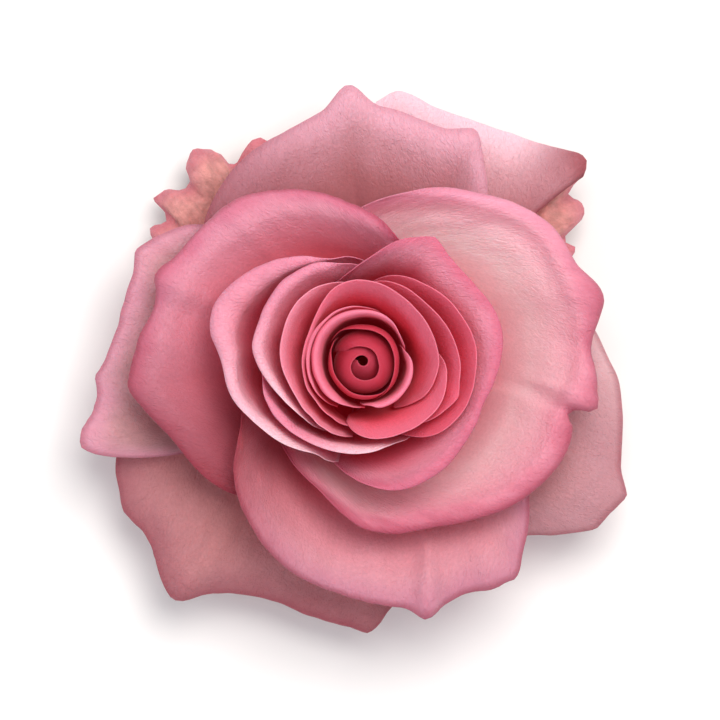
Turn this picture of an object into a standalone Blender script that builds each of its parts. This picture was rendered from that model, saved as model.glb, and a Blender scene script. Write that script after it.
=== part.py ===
"""A garden rose bloom, picked under its hip and lying on its back, face up.

Lengths are millimetres in the tables and metres in the scene. +Z is up, +Y is north, +X is east.
Every petal is one thin sheet. Its meridian, the line from claw to rim, is traced by its slope, and
is then stretched so that the petal reaches a stated radius and height at each azimuth.
"""
import math
from dataclasses import dataclass

import bmesh
import bpy
import numpy as np
from mathutils import Vector

MM = 0.001
WELD_DISTANCE = 0.00001
ROUGHNESS = 0.6

# Driving dimensions of the whole flower
PETAL_THICKNESS = 0.45
SEPAL_THICKNESS = 0.8

# The claws of the petals stand on a sloping shoulder, the innermost petal highest. Each starts at its
# own azimuth as a narrow strip, and widens towards its rim
CLAW_RADIUS_FIRST = 4.3
CLAW_RADIUS_STEP = 0.2
CLAW_HEIGHT_FIRST = 13.4
CLAW_HEIGHT_STEP = 0.16
CLAW_HALF_ANGLE = 24.0
CLAW_WIDENS_BY = 0.62
CLAW_TAPER = 1.4

# The hip and its cut stalk, as (radius, height) from the middle of its top to the middle of the cut
HIP_PROFILE = ((0.0, 12.9), (4.0, 12.9), (9.3, 8.65), (9.6, 8.0), (9.4, 7.3), (8.3, 5.6), (6.2, 4.4),
               (4.2, 3.8), (3.2, 3.4), (2.9, 2.8), (0.0, 2.8))
TURNED_STEPS = 28

# Sepals leave the hip under the petals, droop, and lie on the surface
SEPAL_COUNT = 5
SEPAL_FIRST_AZIMUTH = 20.0
SEPAL_SPINE = ((10.2, 7.6), (14.5, 6.8), (20.0, 5.0), (26.0, 3.5), (31.0, 3.0), (37.0, 2.9))
SEPAL_HALF_WIDTHS = (4.2, 4.7, 4.5, 3.3, 1.7, 0.4)
SEPAL_KEEL = 0.8
SEPAL_COLUMNS = 4
SEPAL_ROWS = 14

STYLES_PROFILE = ((0.0, 17.0), (0.9, 16.9), (1.25, 16.3), (1.1, 15.7), (0.8, 15.0), (0.8, 13.2),
                  (0.0, 13.2))
STAMEN_COUNT = 14
STAMEN_RING_INNER = 1.6
STAMEN_RING_OUTER = 3.0
STAMEN_RING_LOW = 13.2
STAMEN_RING_HIGH = 13.8

# Each stamen as (height, width against the step below): filament foot and top, anther foot and top
STAMEN_STEPS = ((13.9, 0.4), (15.6, 1.0), (15.7, 1.5), (16.6, 0.9))

# Side edges of a petal are cut back by this share of its length, to round its corners
CORNER_CUT = 0.22
CORNER_SHARPNESS = 6

# A tip draws the rim out to a point, where it hangs less steeply
TIP_SHARPNESS = 1.3
TIP_SLOPE = -40

# A lip turns half way to its rim slope over this share of its length
LIP_FIRST_PART = 0.65

DEGREES_PER_COLUMN = 20.0
FEWEST_COLUMNS = 8
COLUMNS_PER_TIP = 2
ROWS = (0.0, 0.08, 0.16, 0.25, 0.36, 0.5, 0.68, 0.84, 0.93, 1.0)
MERIDIAN_STEPS = 90


@dataclass(frozen=True)
class Whorl:
    """Petals of one kind. The rim slope is in degrees above level, below -90 where it rolls under."""

    rim_slope: float
    colour: str


@dataclass(frozen=True)
class Petal:
    """One petal. `rim` rows are (azimuth, radius, height, share of the length that turns out).

    A tip is (azimuth, reach, half width). `claw` is the azimuth of its foot.
    """

    name: str
    whorl: Whorl
    rim: tuple
    claw: float
    tips: tuple = ()


HEART = Whorl(-20, "A8152F")
CORE = Whorl(-40, "B8263F")
BUD = Whorl(-75, "CC4A66")
RING = Whorl(-80, "DB6B86")
CUP = Whorl(-95, "E88CA4")
BOWL = Whorl(-150, "F0A9BA")
OUTER = Whorl(-110, "F2C3CE")
GUARD = Whorl(-60, "D58A80")

# How steeply petals stand, from tight upright ones to wide flat ones. Rows are (reach over rise,
# slope at the claw, slope half way up, slope where the petal starts to turn out), in degrees
HABIT = (
    (0.05, 55, 86, 89),
    (0.15, 44, 83, 88),
    (0.35, 30, 76, 86),
    (0.70, 14, 62, 74),
    (1.40, 5, 46, 28),
    (3.00, 0, 30, 6),
    (5.00, -3, 21, 2),
    (9.00, -8, 12, 2),
)

PETALS = (
    Petal("heart_petal", HEART,
          ((-120, 1.5, 44, .04), (-30, 1.9, 45, .04), (60, 2.2, 45.5, .04), (150, 2.7, 46, .04),
           (200, 3.3, 46, .04), (240, 4.0, 46, .04), (280, 4.3, 46, .04), (320, 4.1, 46, .04),
           (360, 3.5, 46, .04), (410, 3.4, 46, .04), (455, 3.9, 45.5, .04)), claw=190),
    Petal("core_petal_west", CORE,
          ((135, 6.2, 46, .03), (180, 6.0, 46.5, .03), (220, 6.1, 46.5, .03), (270, 6.0, 46.5, .03),
           (300, 5.6, 46, .03), (325, 5.2, 46, .03)), claw=275),
    Petal("core_petal_east", CORE,
          ((-80, 7.1, 46.5, .03), (-40, 6.6, 47, .03), (0, 6.3, 47, .03), (40, 6.8, 47, .03),
           (90, 7.1, 47, .03), (120, 7.4, 47, .03), (150, 7.2, 46.5, .03)), claw=40),
    Petal("bud_petal_east", BUD,
          ((-95, 8.9, 48, .04), (-60, 9.6, 49, .05), (-25, 9.9, 49, .05), (0, 9.4, 49, .05),
           (14, 8.9, 48.5, .04), (26, 8.4, 48, .03)), claw=-30),
    Petal("bud_petal_north", BUD,
          ((12, 10.4, 48.5, .05), (30, 10.4, 49, .06), (45, 10.8, 49.2, .06), (60, 11.3, 49.4, .06),
           (80, 11.6, 49.5, .06), (100, 11.0, 49.5, .06), (120, 10.1, 49.5, .05),
           (150, 8.9, 49.5, .04), (180, 8.4, 49.5, .04), (200, 8.3, 49.5, .04),
           (230, 8.4, 49.2, .04), (272, 10.4, 48.5, .04)), claw=114),
    Petal("bud_petal_west", BUD,
          ((72, 13.4, 48.5, .05), (100, 12.9, 49.5, .05), (120, 12.1, 50, .05),
           (135, 11.5, 50, .05), (150, 10.9, 50, .04), (170, 10.4, 50, .04), (190, 10.1, 50, .04),
           (215, 10.0, 49.5, .04), (240, 10.5, 48.5, .04)), claw=184),
    Petal("ring_petal_north", RING,
          ((0, 15.2, 49.5, .04), (20, 14.6, 50.5, .04), (40, 14.7, 51, .04), (60, 15.4, 51.5, .04),
           (80, 16.4, 51.5, .04), (100, 16.8, 51.5, .04), (112, 16.4, 51.5, .04),
           (122, 15.4, 51.5, .04), (132, 14.3, 51.5, .035), (142, 13.3, 51.5, .03),
           (155, 12.7, 51.5, .03), (180, 12.7, 51.5, .03), (200, 12.9, 51.5, .03),
           (225, 13.3, 51.2, .03), (242, 14.1, 51, .04), (262, 14.8, 50, .04)), claw=61),
    Petal("ring_petal_south", RING,
          ((-106, 16.0, 49.5, .04), (-80, 16.1, 50.5, .05), (-55, 16.9, 50.5, .05),
           (-30, 17.9, 50.5, .05), (-12, 17.4, 50.5, .04), (4, 17.0, 50, .04),
           (16, 16.6, 49, .03)), claw=-55),
    Petal("ring_petal_west", RING,
          ((94, 19.0, 49.5, .04), (110, 18.5, 50.5, .05), (130, 18.3, 51, .06), (145, 18.1, 51, .06),
           (158, 17.5, 51, .06), (170, 17.1, 51, .06), (182, 16.5, 51, .05), (200, 15.8, 51, .04),
           (216, 15.5, 50.7, .03), (236, 16.1, 50.5, .03), (262, 17.6, 49.5, .04)), claw=232),
    Petal("ring_petal_east", RING,
          ((-55, 19.0, 48.5, .04), (-38, 19.6, 50, .04), (-20, 20.2, 50.5, .04),
           (-6, 20.0, 50.5, .04), (10, 19.3, 50.5, .04), (30, 18.3, 50.5, .04),
           (50, 17.7, 50.5, .04), (66, 17.8, 50.5, .04), (80, 18.4, 50, .04), (92, 19.2, 49, .03)),
          tips=((-20, 0.8, 9),), claw=0),
    Petal("ring_petal_far_east", RING,
          ((-62, 21.2, 48, .03), (-40, 22.2, 49.5, .04), (-12, 23.3, 50, .04), (5, 23.3, 50, .04),
           (25, 22.3, 50, .04), (36, 21.8, 50, .04), (46, 21.1, 50, .04), (56, 20.5, 50, .04),
           (70, 20.2, 49.5, .04), (84, 20.9, 48.5, .03)), claw=68),
    Petal("cup_petal_south_west", CUP,
          ((174, 22.6, 40, .03), (185, 22.2, 44, .04), (200, 21.7, 46, .05), (220, 20.8, 47, .05),
           (232, 20.2, 47.5, .06), (244, 19.6, 48, .06), (256, 19.2, 48, .06), (272, 18.9, 48, .05),
           (287, 19.0, 47.5, .05), (302, 19.7, 46.5, .04)), claw=275),
    Petal("cup_petal_north_west", CUP,
          ((86, 24.6, 41, .03), (94, 23.4, 44, .04), (105, 22.4, 47, .06), (120, 22.9, 48.5, .09),
           (135, 23.5, 49, .11), (160, 23.2, 49, .11), (170, 23.1, 49, .1), (179, 21.9, 49, .08),
           (191, 20.0, 49, .06), (206, 18.3, 49, .04), (225, 17.7, 48.5, .03),
           (242, 17.9, 47.5, .03)), claw=130),
    Petal("cup_petal_east", CUP,
          ((-106, 25.6, 42, .06), (-92, 27.0, 45, .07), (-76, 28.0, 47, .08), (-60, 27.5, 48, .08),
           (-45, 27.1, 48.5, .08), (-30, 26.4, 49, .06), (-20, 26.1, 49, .05), (-10, 27.1, 49, .07),
           (0, 28.2, 49, .09), (14, 29.1, 49, .1), (24, 28.9, 49, .1), (34, 28.0, 49, .1),
           (44, 27.7, 49.5, .11), (52, 28.3, 50, .12), (60, 28.8, 50.5, .13), (68, 28.0, 50.5, .12),
           (75, 26.4, 50.5, .1), (82, 24.2, 50.3, .07), (90, 22.2, 50, .05),
           (100, 20.7, 49.5, .04), (110, 20.0, 48.5, .03)),
          tips=((60, 0.9, 8),), claw=-18),
    Petal("cup_petal_west", CUP,
          ((94, 26.0, 38, .04), (104, 24.6, 43, .05), (112, 24.4, 46, .06), (120, 25.3, 47.5, .08),
           (130, 27.5, 48, .12), (140, 29.8, 48, .16), (150, 31.7, 48, .19), (160, 33.0, 47.5, .2),
           (168, 32.2, 47.5, .18), (175, 30.0, 47.5, .14), (182, 28.9, 47.5, .1),
           (195, 28.1, 47.5, .08), (205, 26.3, 47.5, .06), (215, 24.9, 47.5, .05),
           (230, 23.7, 47, .04), (245, 23.2, 46, .04), (256, 23.2, 44, .03)), claw=203),
    Petal("bowl_petal_west", BOWL,
          ((62, 29.0, 39, .12), (72, 29.2, 43, .14), (84, 31.0, 43.5, .16), (95, 33.3, 43, .18),
           (106, 36.8, 42.5, .2), (120, 40.5, 42, .2), (132, 42.2, 41.5, .2),
           (142, 43.6, 41, .2), (151, 44.6, 41, .2), (158, 45.2, 41, .2), (166, 46.0, 41, .2),
           (178, 47.4, 40.5, .2), (186, 48.2, 39.5, .2), (193, 46.2, 38.5, .2),
           (201, 43.4, 37.5, .2), (212, 42.2, 35.5, .2), (226, 41.4, 33, .2),
           (240, 39.0, 30, .2)),
          tips=((155, 1.2, 7), (186, 1.0, 9)), claw=144),
    Petal("bowl_petal_south", BOWL,
          ((197, 29.6, 41, .1), (204, 30.6, 42, .1), (212, 32.4, 42, .12), (221, 36.2, 41.5, .14),
           (231, 39.8, 41, .16), (241, 43.0, 39.5, .18), (251, 46.2, 37.0, .2),
           (261, 48.5, 35.5, .2), (271, 50.0, 34.5, .2), (281, 52.2, 33.5, .2),
           (287, 53.3, 33, .2), (293, 52.8, 32.5, .2), (300, 53.5, 32, .2), (306, 54.0, 31.5, .2),
           (312, 51.6, 31, .2), (320, 48.0, 30, .2), (332, 44.0, 29, .2)),
          tips=((305, 1.4, 5),), claw=272),
    Petal("bowl_petal_east", BOWL,
          ((-136, 26.6, 39, .05), (-122, 27.6, 42, .07), (-109, 29.6, 43.5, .1),
           (-98, 32.4, 43, .12), (-90, 34.8, 42.5, .14), (-80, 36.2, 42, .16), (-68, 37.0, 41.5, .18),
           (-58, 39.0, 41.5, .18), (-45, 42.6, 41.5, .18), (-32, 45.1, 41.5, .2),
           (-22, 45.7, 41.5, .2), (-13, 46.0, 41.5, .2), (-5, 48.4, 41.5, .2),
           (5, 48.6, 41.5, .2), (15, 49.3, 41.5, .2), (25, 48.6, 41.5, .2), (35, 48.2, 41, .18),
           (45, 45.8, 40.5, .16), (55, 42.6, 40, .14), (66, 40.0, 39, .12), (80, 36.8, 38, .1),
           (94, 34.4, 37, .1), (106, 32.6, 35, .1)),
          tips=((15, 1.4, 9),), claw=-12),
    Petal("outer_petal_north", OUTER,
          ((44, 41.5, 28.8, .16), (52, 45.5, 30.6, .16), (58, 49.4, 31.2, .16), (64, 52.0, 31, .17),
           (72, 51.8, 31, .18), (80, 52.6, 31, .18), (88, 54.0, 31, .18), (93, 54.6, 31, .18),
           (100, 52.8, 31, .18), (110, 50.6, 31, .18), (119, 49.6, 31, .18), (130, 47.4, 30.5, .18),
           (142, 45.0, 30, .16), (152, 42.0, 29, .16)),
          tips=((64.5, 2.2, 6), (93, 2.7, 6)), claw=95),
    Petal("outer_petal_west", OUTER,
          ((130, 41.0, 21, .18), (138, 45.0, 22.5, .18), (147, 49.8, 25, .2), (154, 52.0, 27, .22),
           (161, 51.6, 28, .22), (170, 51.8, 28, .24), (178, 54.0, 27.5, .25), (184, 55.4, 27, .25),
           (190, 57.6, 26.5, .25), (196, 60.0, 26, .25), (201, 58.5, 25.5, .22),
           (207, 52.0, 25, .2)),
          tips=((154, 1.3, 5), (183, 1.2, 4), (196.5, 2.6, 6)), claw=192),
    Petal("outer_petal_south_west", OUTER,
          ((188, 49.0, 15, .22), (196, 55.5, 17, .24), (203, 58.2, 19, .26), (212, 58.9, 21, .3),
           (220, 59.0, 22, .32), (226, 61.2, 22.5, .34), (231, 61.4, 23, .34), (236, 58.4, 23, .34),
           (243, 55.0, 23, .32), (251, 53.8, 23, .3), (260, 54.6, 22.5, .3), (267, 55.6, 22, .3),
           (273, 54.6, 21, .3), (281, 49.0, 18, .28), (292, 43.0, 14, .24)),
          tips=((212, 0.8, 5), (231, 2.0, 6), (271, 1.8, 4)), claw=249),
    Petal("outer_petal_north_east", OUTER,
          ((24, 44.0, 17.6, .2), (33, 51.5, 19, .2), (39, 57.0, 20, .2), (43, 60.4, 21, .2),
           (48, 58.4, 21, .2), (55, 56.0, 21, .22), (64, 54.6, 20, .24), (76, 54.2, 19, .26),
           (83, 54.4, 18.5, .26), (90, 52.0, 18, .24), (99, 46.0, 17, .22)),
          tips=((43, 1.6, 6), (82, 2.4, 5)), claw=47),
    Petal("outer_petal_east", OUTER,
          ((-72, 42.0, 20, .2), (-60, 45.0, 21.5, .24), (-48, 49.0, 23.5, .3), (-41, 55.0, 25, .32),
           (-36, 58.8, 25.5, .34), (-31, 60.0, 25.5, .34), (-26, 59.6, 25.5, .34),
           (-18, 57.2, 25.5, .34), (-8, 54.6, 25, .34), (2, 51.4, 24.5, .32), (12, 48.0, 23.5, .3),
           (26, 43.0, 21, .28)),
          tips=((-35.5, 1.2, 4), (-27, 2.0, 5)), claw=-56),
    Petal("guard_petal_north_west", GUARD,
          ((106, 44.0, 16, .24), (113, 48.6, 17, .24), (121, 51.0, 17, .24), (129, 54.8, 17, .24),
           (137, 54.8, 16.5, .24), (144, 53.2, 16, .24), (151, 50.6, 15.5, .24), (160, 46.0, 14, .24)),
          tips=((117, 2.6, 3.5), (128.5, 2.8, 5), (142, 2.2, 4), (147.5, 1.6, 3)), claw=132),
    Petal("guard_petal_north_east", GUARD,
          ((6, 42.0, 10, .24), (16, 45.0, 10.5, .24), (26, 48.5, 11, .24), (33, 52.4, 11.5, .24),
           (40, 54.0, 11.5, .24), (47, 52.0, 11.5, .24), (56, 47.0, 11, .24)),
          tips=((30, 1.6, 4), (35, 2.0, 4), (41, 1.4, 4)), claw=-4),
)


def linear_colour(code):
    """Turn an sRGB hex code into linear RGBA."""
    channels = [int(code[start:start + 2], 16) / 255 for start in (0, 2, 4)]
    linear = [c / 12.92 if c <= 0.04045 else ((c + 0.055) / 1.055) ** 2.4 for c in channels]
    return (*linear, 1.0)


def paint(item, code):
    """Give an object a Principled material of its own, in one colour."""
    material = bpy.data.materials.new(item.name)
    material.use_nodes = True
    shader = material.node_tree.nodes["Principled BSDF"]
    shader.inputs["Base Color"].default_value = linear_colour(code)
    shader.inputs["Roughness"].default_value = ROUGHNESS
    shader.inputs["Metallic"].default_value = 0.0
    item.data.materials.append(material)


def smooth_curve(x, knots, values):
    """Monotone cubic through (knots, values), read at x."""
    knots = np.asarray(knots, float)
    values = np.asarray(values, float)
    step = np.diff(knots)
    rise = np.diff(values) / step
    slope = np.concatenate(([rise[0]], 0.5 * (rise[1:] + rise[:-1]), [rise[-1]]))
    turning = rise[1:] * rise[:-1] <= 0
    slope[1:-1][turning] = 0.0
    limit = 3 * np.minimum(np.abs(rise[1:]), np.abs(rise[:-1]))
    slope[1:-1] = np.clip(slope[1:-1], -limit, limit)
    x = np.clip(x, knots[0], knots[-1])
    i = np.clip(np.searchsorted(knots, x, side="right") - 1, 0, len(step) - 1)
    h = step[i]
    t = (x - knots[i]) / h
    return ((1 + 2 * t) * (1 - t) ** 2 * values[i] + t * (1 - t) ** 2 * h * slope[i]
            + t * t * (3 - 2 * t) * values[i + 1] + t * t * (t - 1) * h * slope[i + 1])


def meridian(aspect, share, rim_slope, along):
    """Trace petal meridians.

    Each point has its own aspect (reach over rise), its own share of turned-out length, its own
    slope at the rim, and its own place `along` the petal from 0 at the claw to 1 at the rim.
    Returns reach and rise, both 0 at the claw and 1 where the full meridian is widest and highest.
    """
    habit = np.array(HABIT, float)
    claw, belly, upright = (np.interp(aspect, habit[:, 0], habit[:, k]) for k in (1, 2, 3))
    s = (np.arange(MERIDIAN_STEPS) + 0.5)[:, None] / MERIDIAN_STEPS
    lip_middle = 1 - (1 - LIP_FIRST_PART) * share
    knots = (np.zeros_like(share), 0.5 * (1 - share), 1 - share, lip_middle, np.ones_like(share))
    angles = (claw, belly, upright, upright + 0.5 * (rim_slope - upright), rim_slope)
    angle = np.repeat(angles[0][None, :], MERIDIAN_STEPS, axis=0)
    for a, b, start, end in zip(knots[:-1], knots[1:], angles[:-1], angles[1:]):
        angle = angle + np.clip((s - a) / (b - a), 0, 1) * (end - start)
    angle = np.radians(angle)
    zero = np.zeros((1, share.size))
    reach = np.vstack((zero, np.cumsum(np.cos(angle), axis=0)))
    rise = np.vstack((zero, np.cumsum(np.sin(angle), axis=0)))
    place = along * MERIDIAN_STEPS
    i = np.clip(place.astype(int), 0, MERIDIAN_STEPS - 1)
    part = place - i
    column = np.arange(share.size)

    def read(line):
        return (1 - part) * line[i, column] + part * line[i + 1, column]

    return read(reach) / reach.max(axis=0), read(rise) / rise.max(axis=0)


def petal_points(petal, order, across, along):
    """Places of petal points, in mm, for `across` from -1 to 1 and `along` from 0 to 1."""
    azimuths, radii, heights, shares = (np.array(column, float) for column in zip(*petal.rim))
    middle = 0.5 * (azimuths[0] + azimuths[-1])
    half_angle = 0.5 * (azimuths[-1] - azimuths[0])
    along = along * (1 - CORNER_CUT * np.abs(across) ** CORNER_SHARPNESS)
    widened = np.sin(0.5 * math.pi * np.clip(along / CLAW_WIDENS_BY, 0, 1)) ** CLAW_TAPER
    azimuth = (petal.claw + (middle - petal.claw) * widened
               + across * (CLAW_HALF_ANGLE + (half_angle - CLAW_HALF_ANGLE) * widened))
    radius = smooth_curve(azimuth, azimuths, radii)
    height = smooth_curve(azimuth, azimuths, heights)
    share = smooth_curve(azimuth, azimuths, shares)
    rim_slope = np.full_like(azimuth, petal.whorl.rim_slope)
    for tip_azimuth, reach, half_width in petal.tips:
        point = np.clip(1 - np.abs(azimuth - tip_azimuth) / half_width, 0, 1) ** TIP_SHARPNESS
        radius = radius + reach * point
        rim_slope = rim_slope + point * 0.5 * (TIP_SLOPE - rim_slope)
    claw_radius = CLAW_RADIUS_FIRST + CLAW_RADIUS_STEP * order
    claw_height = CLAW_HEIGHT_FIRST - CLAW_HEIGHT_STEP * order
    aspect = (radius - claw_radius) / (height - claw_height)
    reach, rise = meridian(aspect, share, rim_slope, along)
    r = claw_radius + (radius - claw_radius) * reach
    z = claw_height + (height - claw_height) * rise
    turn = np.radians(azimuth)
    return np.stack((r * np.cos(turn), r * np.sin(turn), z), axis=-1)


def sheet_object(name, columns, rows):
    """An open grid sheet, whose vertices run across first and along second."""
    bpy.ops.mesh.primitive_grid_add(x_subdivisions=columns, y_subdivisions=rows, size=2)
    sheet = bpy.context.object
    sheet.name = name
    sheet.data.name = name
    return sheet


def place_vertices(sheet, points):
    """Put the sheet's vertices at points given in mm."""
    sheet.data.vertices.foreach_set("co", (points * MM).astype(np.float32).ravel())
    sheet.data.update()


def add_thickness(sheet, thickness):
    """Give a sheet its thickness in mm, half to each side."""
    solid = sheet.modifiers.new("thickness", "SOLIDIFY")
    solid.thickness = thickness * MM
    solid.offset = 0.0
    solid.use_even_offset = True
    sheet.data.shade_smooth()


def column_places(petal):
    """Where the columns of a petal's sheet stand, from -1 to 1 across, with one on each tip."""
    first, last = petal.rim[0][0], petal.rim[-1][0]
    columns = max(FEWEST_COLUMNS + COLUMNS_PER_TIP * len(petal.tips),
                  round((last - first) / DEGREES_PER_COLUMN))
    places = np.linspace(-1, 1, columns + 1)
    for tip_azimuth, _, _ in petal.tips:
        tip_place = (2 * tip_azimuth - first - last) / (last - first)
        places[np.argmin(np.abs(places - tip_place))] = tip_place
    return places


def make_petal(petal, order):
    """Build one petal from its rim table."""
    places = column_places(petal)
    sheet = sheet_object(petal.name, len(places) - 1, len(ROWS) - 1)
    across, along = np.meshgrid(places, ROWS)
    place_vertices(sheet, petal_points(petal, order, across.ravel(), along.ravel()))
    add_thickness(sheet, PETAL_THICKNESS)
    paint(sheet, petal.whorl.colour)
    return sheet


def turned_body(name, profile):
    """Spin a closed profile of (radius, height), listed from top to bottom, round the axis."""
    mesh = bpy.data.meshes.new(name)
    points = [(radius * MM, 0.0, height * MM) for radius, height in profile]
    mesh.from_pydata(points, [(i, i + 1) for i in range(len(points) - 1)], [])
    body = bpy.data.objects.new(name, mesh)
    spin = body.modifiers.new("spin", "SCREW")
    spin.steps = TURNED_STEPS
    spin.render_steps = TURNED_STEPS
    spin.use_merge_vertices = True
    spin.merge_threshold = WELD_DISTANCE
    spin.use_smooth_shade = True
    return body


def make_hip():
    """The swollen flower base and its short cut stalk, grown as one piece."""
    hip = turned_body("hip", HIP_PROFILE)
    paint(hip, "7F9A55")
    return hip


def make_sepal(number):
    """One green sepal, keeled along its middle and drawn out to a point."""
    spine = np.array(SEPAL_SPINE)
    sepal = sheet_object(f"sepal_{number + 1}", SEPAL_COLUMNS, SEPAL_ROWS)
    across, along = (grid.ravel() for grid in np.meshgrid(np.linspace(-1, 1, SEPAL_COLUMNS + 1),
                                                          np.linspace(0, 1, SEPAL_ROWS + 1)))
    station = np.linspace(0, 1, len(spine))
    r = smooth_curve(along, station, spine[:, 0])
    z = smooth_curve(along, station, spine[:, 1])
    half_width = smooth_curve(along, station, SEPAL_HALF_WIDTHS)
    side = across * half_width
    z = z + SEPAL_KEEL * (1 - along) * np.abs(across)
    turn = math.radians(SEPAL_FIRST_AZIMUTH + 360 * number / SEPAL_COUNT)
    place_vertices(sepal, np.stack((r * math.cos(turn) - side * math.sin(turn),
                                    r * math.sin(turn) + side * math.cos(turn), z), axis=-1))
    add_thickness(sepal, SEPAL_THICKNESS)
    paint(sepal, "6E8C4A")
    return sepal


def make_styles():
    """The bundle of styles in the middle of the flower, with its knob of stigmas."""
    styles = turned_body("styles", STYLES_PROFILE)
    paint(styles, "D9C489")
    return styles


def stamen_ring(form):
    """Make the ring that carries the stamens, and return the top faces that they grow from."""
    segments = 2 * STAMEN_COUNT
    rings = []
    for radius, height in ((STAMEN_RING_INNER, STAMEN_RING_HIGH), (STAMEN_RING_OUTER, STAMEN_RING_HIGH),
                           (STAMEN_RING_OUTER, STAMEN_RING_LOW), (STAMEN_RING_INNER, STAMEN_RING_LOW)):
        turns = [math.tau * k / segments for k in range(segments)]
        rings.append([form.verts.new((radius * MM * math.cos(turn), radius * MM * math.sin(turn),
                                      height * MM)) for turn in turns])
    feet = []
    for k in range(segments):
        following = (k + 1) % segments
        for ring, other in zip(rings, rings[1:] + rings[:1]):
            face = form.faces.new((ring[k], other[k], other[following], ring[following]))
            if ring is rings[0] and k % 2 == 0:
                feet.append(face)
    return feet


def make_stamens():
    """A ring of stamens: filaments drawn up from it, each with a wider anther."""
    form = bmesh.new()
    for face in stamen_ring(form):
        for height, width in STAMEN_STEPS:
            face = bmesh.ops.extrude_discrete_faces(form, faces=[face])["faces"][0]
            middle = face.calc_center_median()
            for corner in face.verts:
                corner.co.xy = middle.xy + width * (corner.co.xy - middle.xy)
                corner.co.z = height * MM
    bmesh.ops.remove_doubles(form, verts=form.verts, dist=WELD_DISTANCE)
    bmesh.ops.recalc_face_normals(form, faces=form.faces)
    mesh = bpy.data.meshes.new("stamens")
    form.to_mesh(mesh)
    form.free()
    stamens = bpy.data.objects.new("stamens", mesh)
    paint(stamens, "E0B040")
    return stamens


def remove_everything():
    """Start from an empty scene."""
    for item in list(bpy.data.objects):
        bpy.data.objects.remove(item, do_unlink=True)


def gather(pieces, name):
    """Put the pieces in a collection of their own, under one empty."""
    collection = bpy.data.collections.new(name)
    bpy.context.scene.collection.children.link(collection)
    holder = bpy.data.objects.new(name, None)
    collection.objects.link(holder)
    for piece in pieces:
        for other in piece.users_collection:
            other.objects.unlink(piece)
        collection.objects.link(piece)
        piece.parent = holder
    return holder


def stand_on_origin(holder, pieces):
    """Move the flower so that the box round it stands on the origin, at the middle of its base."""
    depsgraph = bpy.context.evaluated_depsgraph_get()
    corners = []
    for piece in pieces:
        evaluated = piece.evaluated_get(depsgraph)
        corners += [evaluated.matrix_world @ Vector(corner) for corner in evaluated.bound_box]
    low = Vector([min(corner[axis] for corner in corners) for axis in range(3)])
    high = Vector([max(corner[axis] for corner in corners) for axis in range(3)])
    holder.location = (-0.5 * (low.x + high.x), -0.5 * (low.y + high.y), -low.z)


def main():
    remove_everything()
    pieces = [make_petal(petal, order) for order, petal in enumerate(PETALS)]
    pieces += [make_hip(), make_styles(), make_stamens()]
    pieces += [make_sepal(number) for number in range(SEPAL_COUNT)]
    holder = gather(pieces, "garden_rose")
    stand_on_origin(holder, pieces)


main()
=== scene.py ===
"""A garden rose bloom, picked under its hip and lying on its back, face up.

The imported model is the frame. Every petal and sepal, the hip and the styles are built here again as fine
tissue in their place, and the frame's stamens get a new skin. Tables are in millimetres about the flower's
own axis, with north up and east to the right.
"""
import logging
import math
from dataclasses import dataclass, replace
from enum import Enum

import bpy
import numpy as np
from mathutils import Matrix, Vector


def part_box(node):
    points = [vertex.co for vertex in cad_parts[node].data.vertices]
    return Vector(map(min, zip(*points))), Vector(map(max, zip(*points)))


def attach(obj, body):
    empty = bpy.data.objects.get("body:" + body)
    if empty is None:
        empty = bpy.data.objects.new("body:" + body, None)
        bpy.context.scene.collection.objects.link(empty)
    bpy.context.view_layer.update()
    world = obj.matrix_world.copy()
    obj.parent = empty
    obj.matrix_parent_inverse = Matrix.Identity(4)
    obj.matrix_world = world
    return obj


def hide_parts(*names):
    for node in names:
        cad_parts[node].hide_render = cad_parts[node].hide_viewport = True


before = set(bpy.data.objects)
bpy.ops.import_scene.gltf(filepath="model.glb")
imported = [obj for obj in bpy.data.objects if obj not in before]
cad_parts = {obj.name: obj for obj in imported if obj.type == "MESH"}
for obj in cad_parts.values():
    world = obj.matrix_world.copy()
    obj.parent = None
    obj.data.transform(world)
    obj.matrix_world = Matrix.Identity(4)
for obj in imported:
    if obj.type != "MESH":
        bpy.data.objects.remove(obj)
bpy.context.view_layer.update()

LOG = logging.getLogger("garden_rose")

MM = 0.001
BODY = "root"

# Faces that meet at less than this angle are shaded as one
SMOOTH_ANGLE = math.radians(50)

# The middle of the hip's top, on the flower's axis, as the tables have it
HIP_TOP_HEIGHT = 12.9

Array = np.ndarray
Socket = bpy.types.NodeSocket


def linear_colour(code: str) -> tuple[float, float, float, float]:
    """Turn an sRGB hex code into linear RGBA.

    Args:
        code: Six hex digits.

    Returns:
        Linear red, green and blue, and an alpha of 1.
    """
    channels = [int(code[start:start + 2], 16) / 255 for start in (0, 2, 4)]
    linear = [c / 12.92 if c <= 0.04045 else ((c + 0.055) / 1.055) ** 2.4 for c in channels]
    return (linear[0], linear[1], linear[2], 1.0)


def add_node(tree: bpy.types.NodeTree, kind: str, inputs: dict | None = None,
             stops: tuple = (), **settings: object) -> bpy.types.Node:
    """Add a node with its settings and links.

    Args:
        tree: Node tree that it goes into.
        kind: Node type.
        inputs: Socket name or number to its value, or to the output socket that feeds it.
        stops: Places and hex colours of a colour ramp.
        **settings: The node's own properties.

    Returns:
        The new node.
    """
    node = tree.nodes.new(kind)
    for name, value in settings.items():
        setattr(node, name, value)
    for place, code in stops[2:]:
        node.color_ramp.elements.new(place)
    for element, (place, code) in zip(node.color_ramp.elements if stops else (), stops):
        element.position = place
        element.color = linear_colour(code)
    for socket, value in (inputs or {}).items():
        if isinstance(value, bpy.types.NodeSocket):
            tree.links.new(value, node.inputs[socket])
        else:
            node.inputs[socket].default_value = value
    return node


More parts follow.
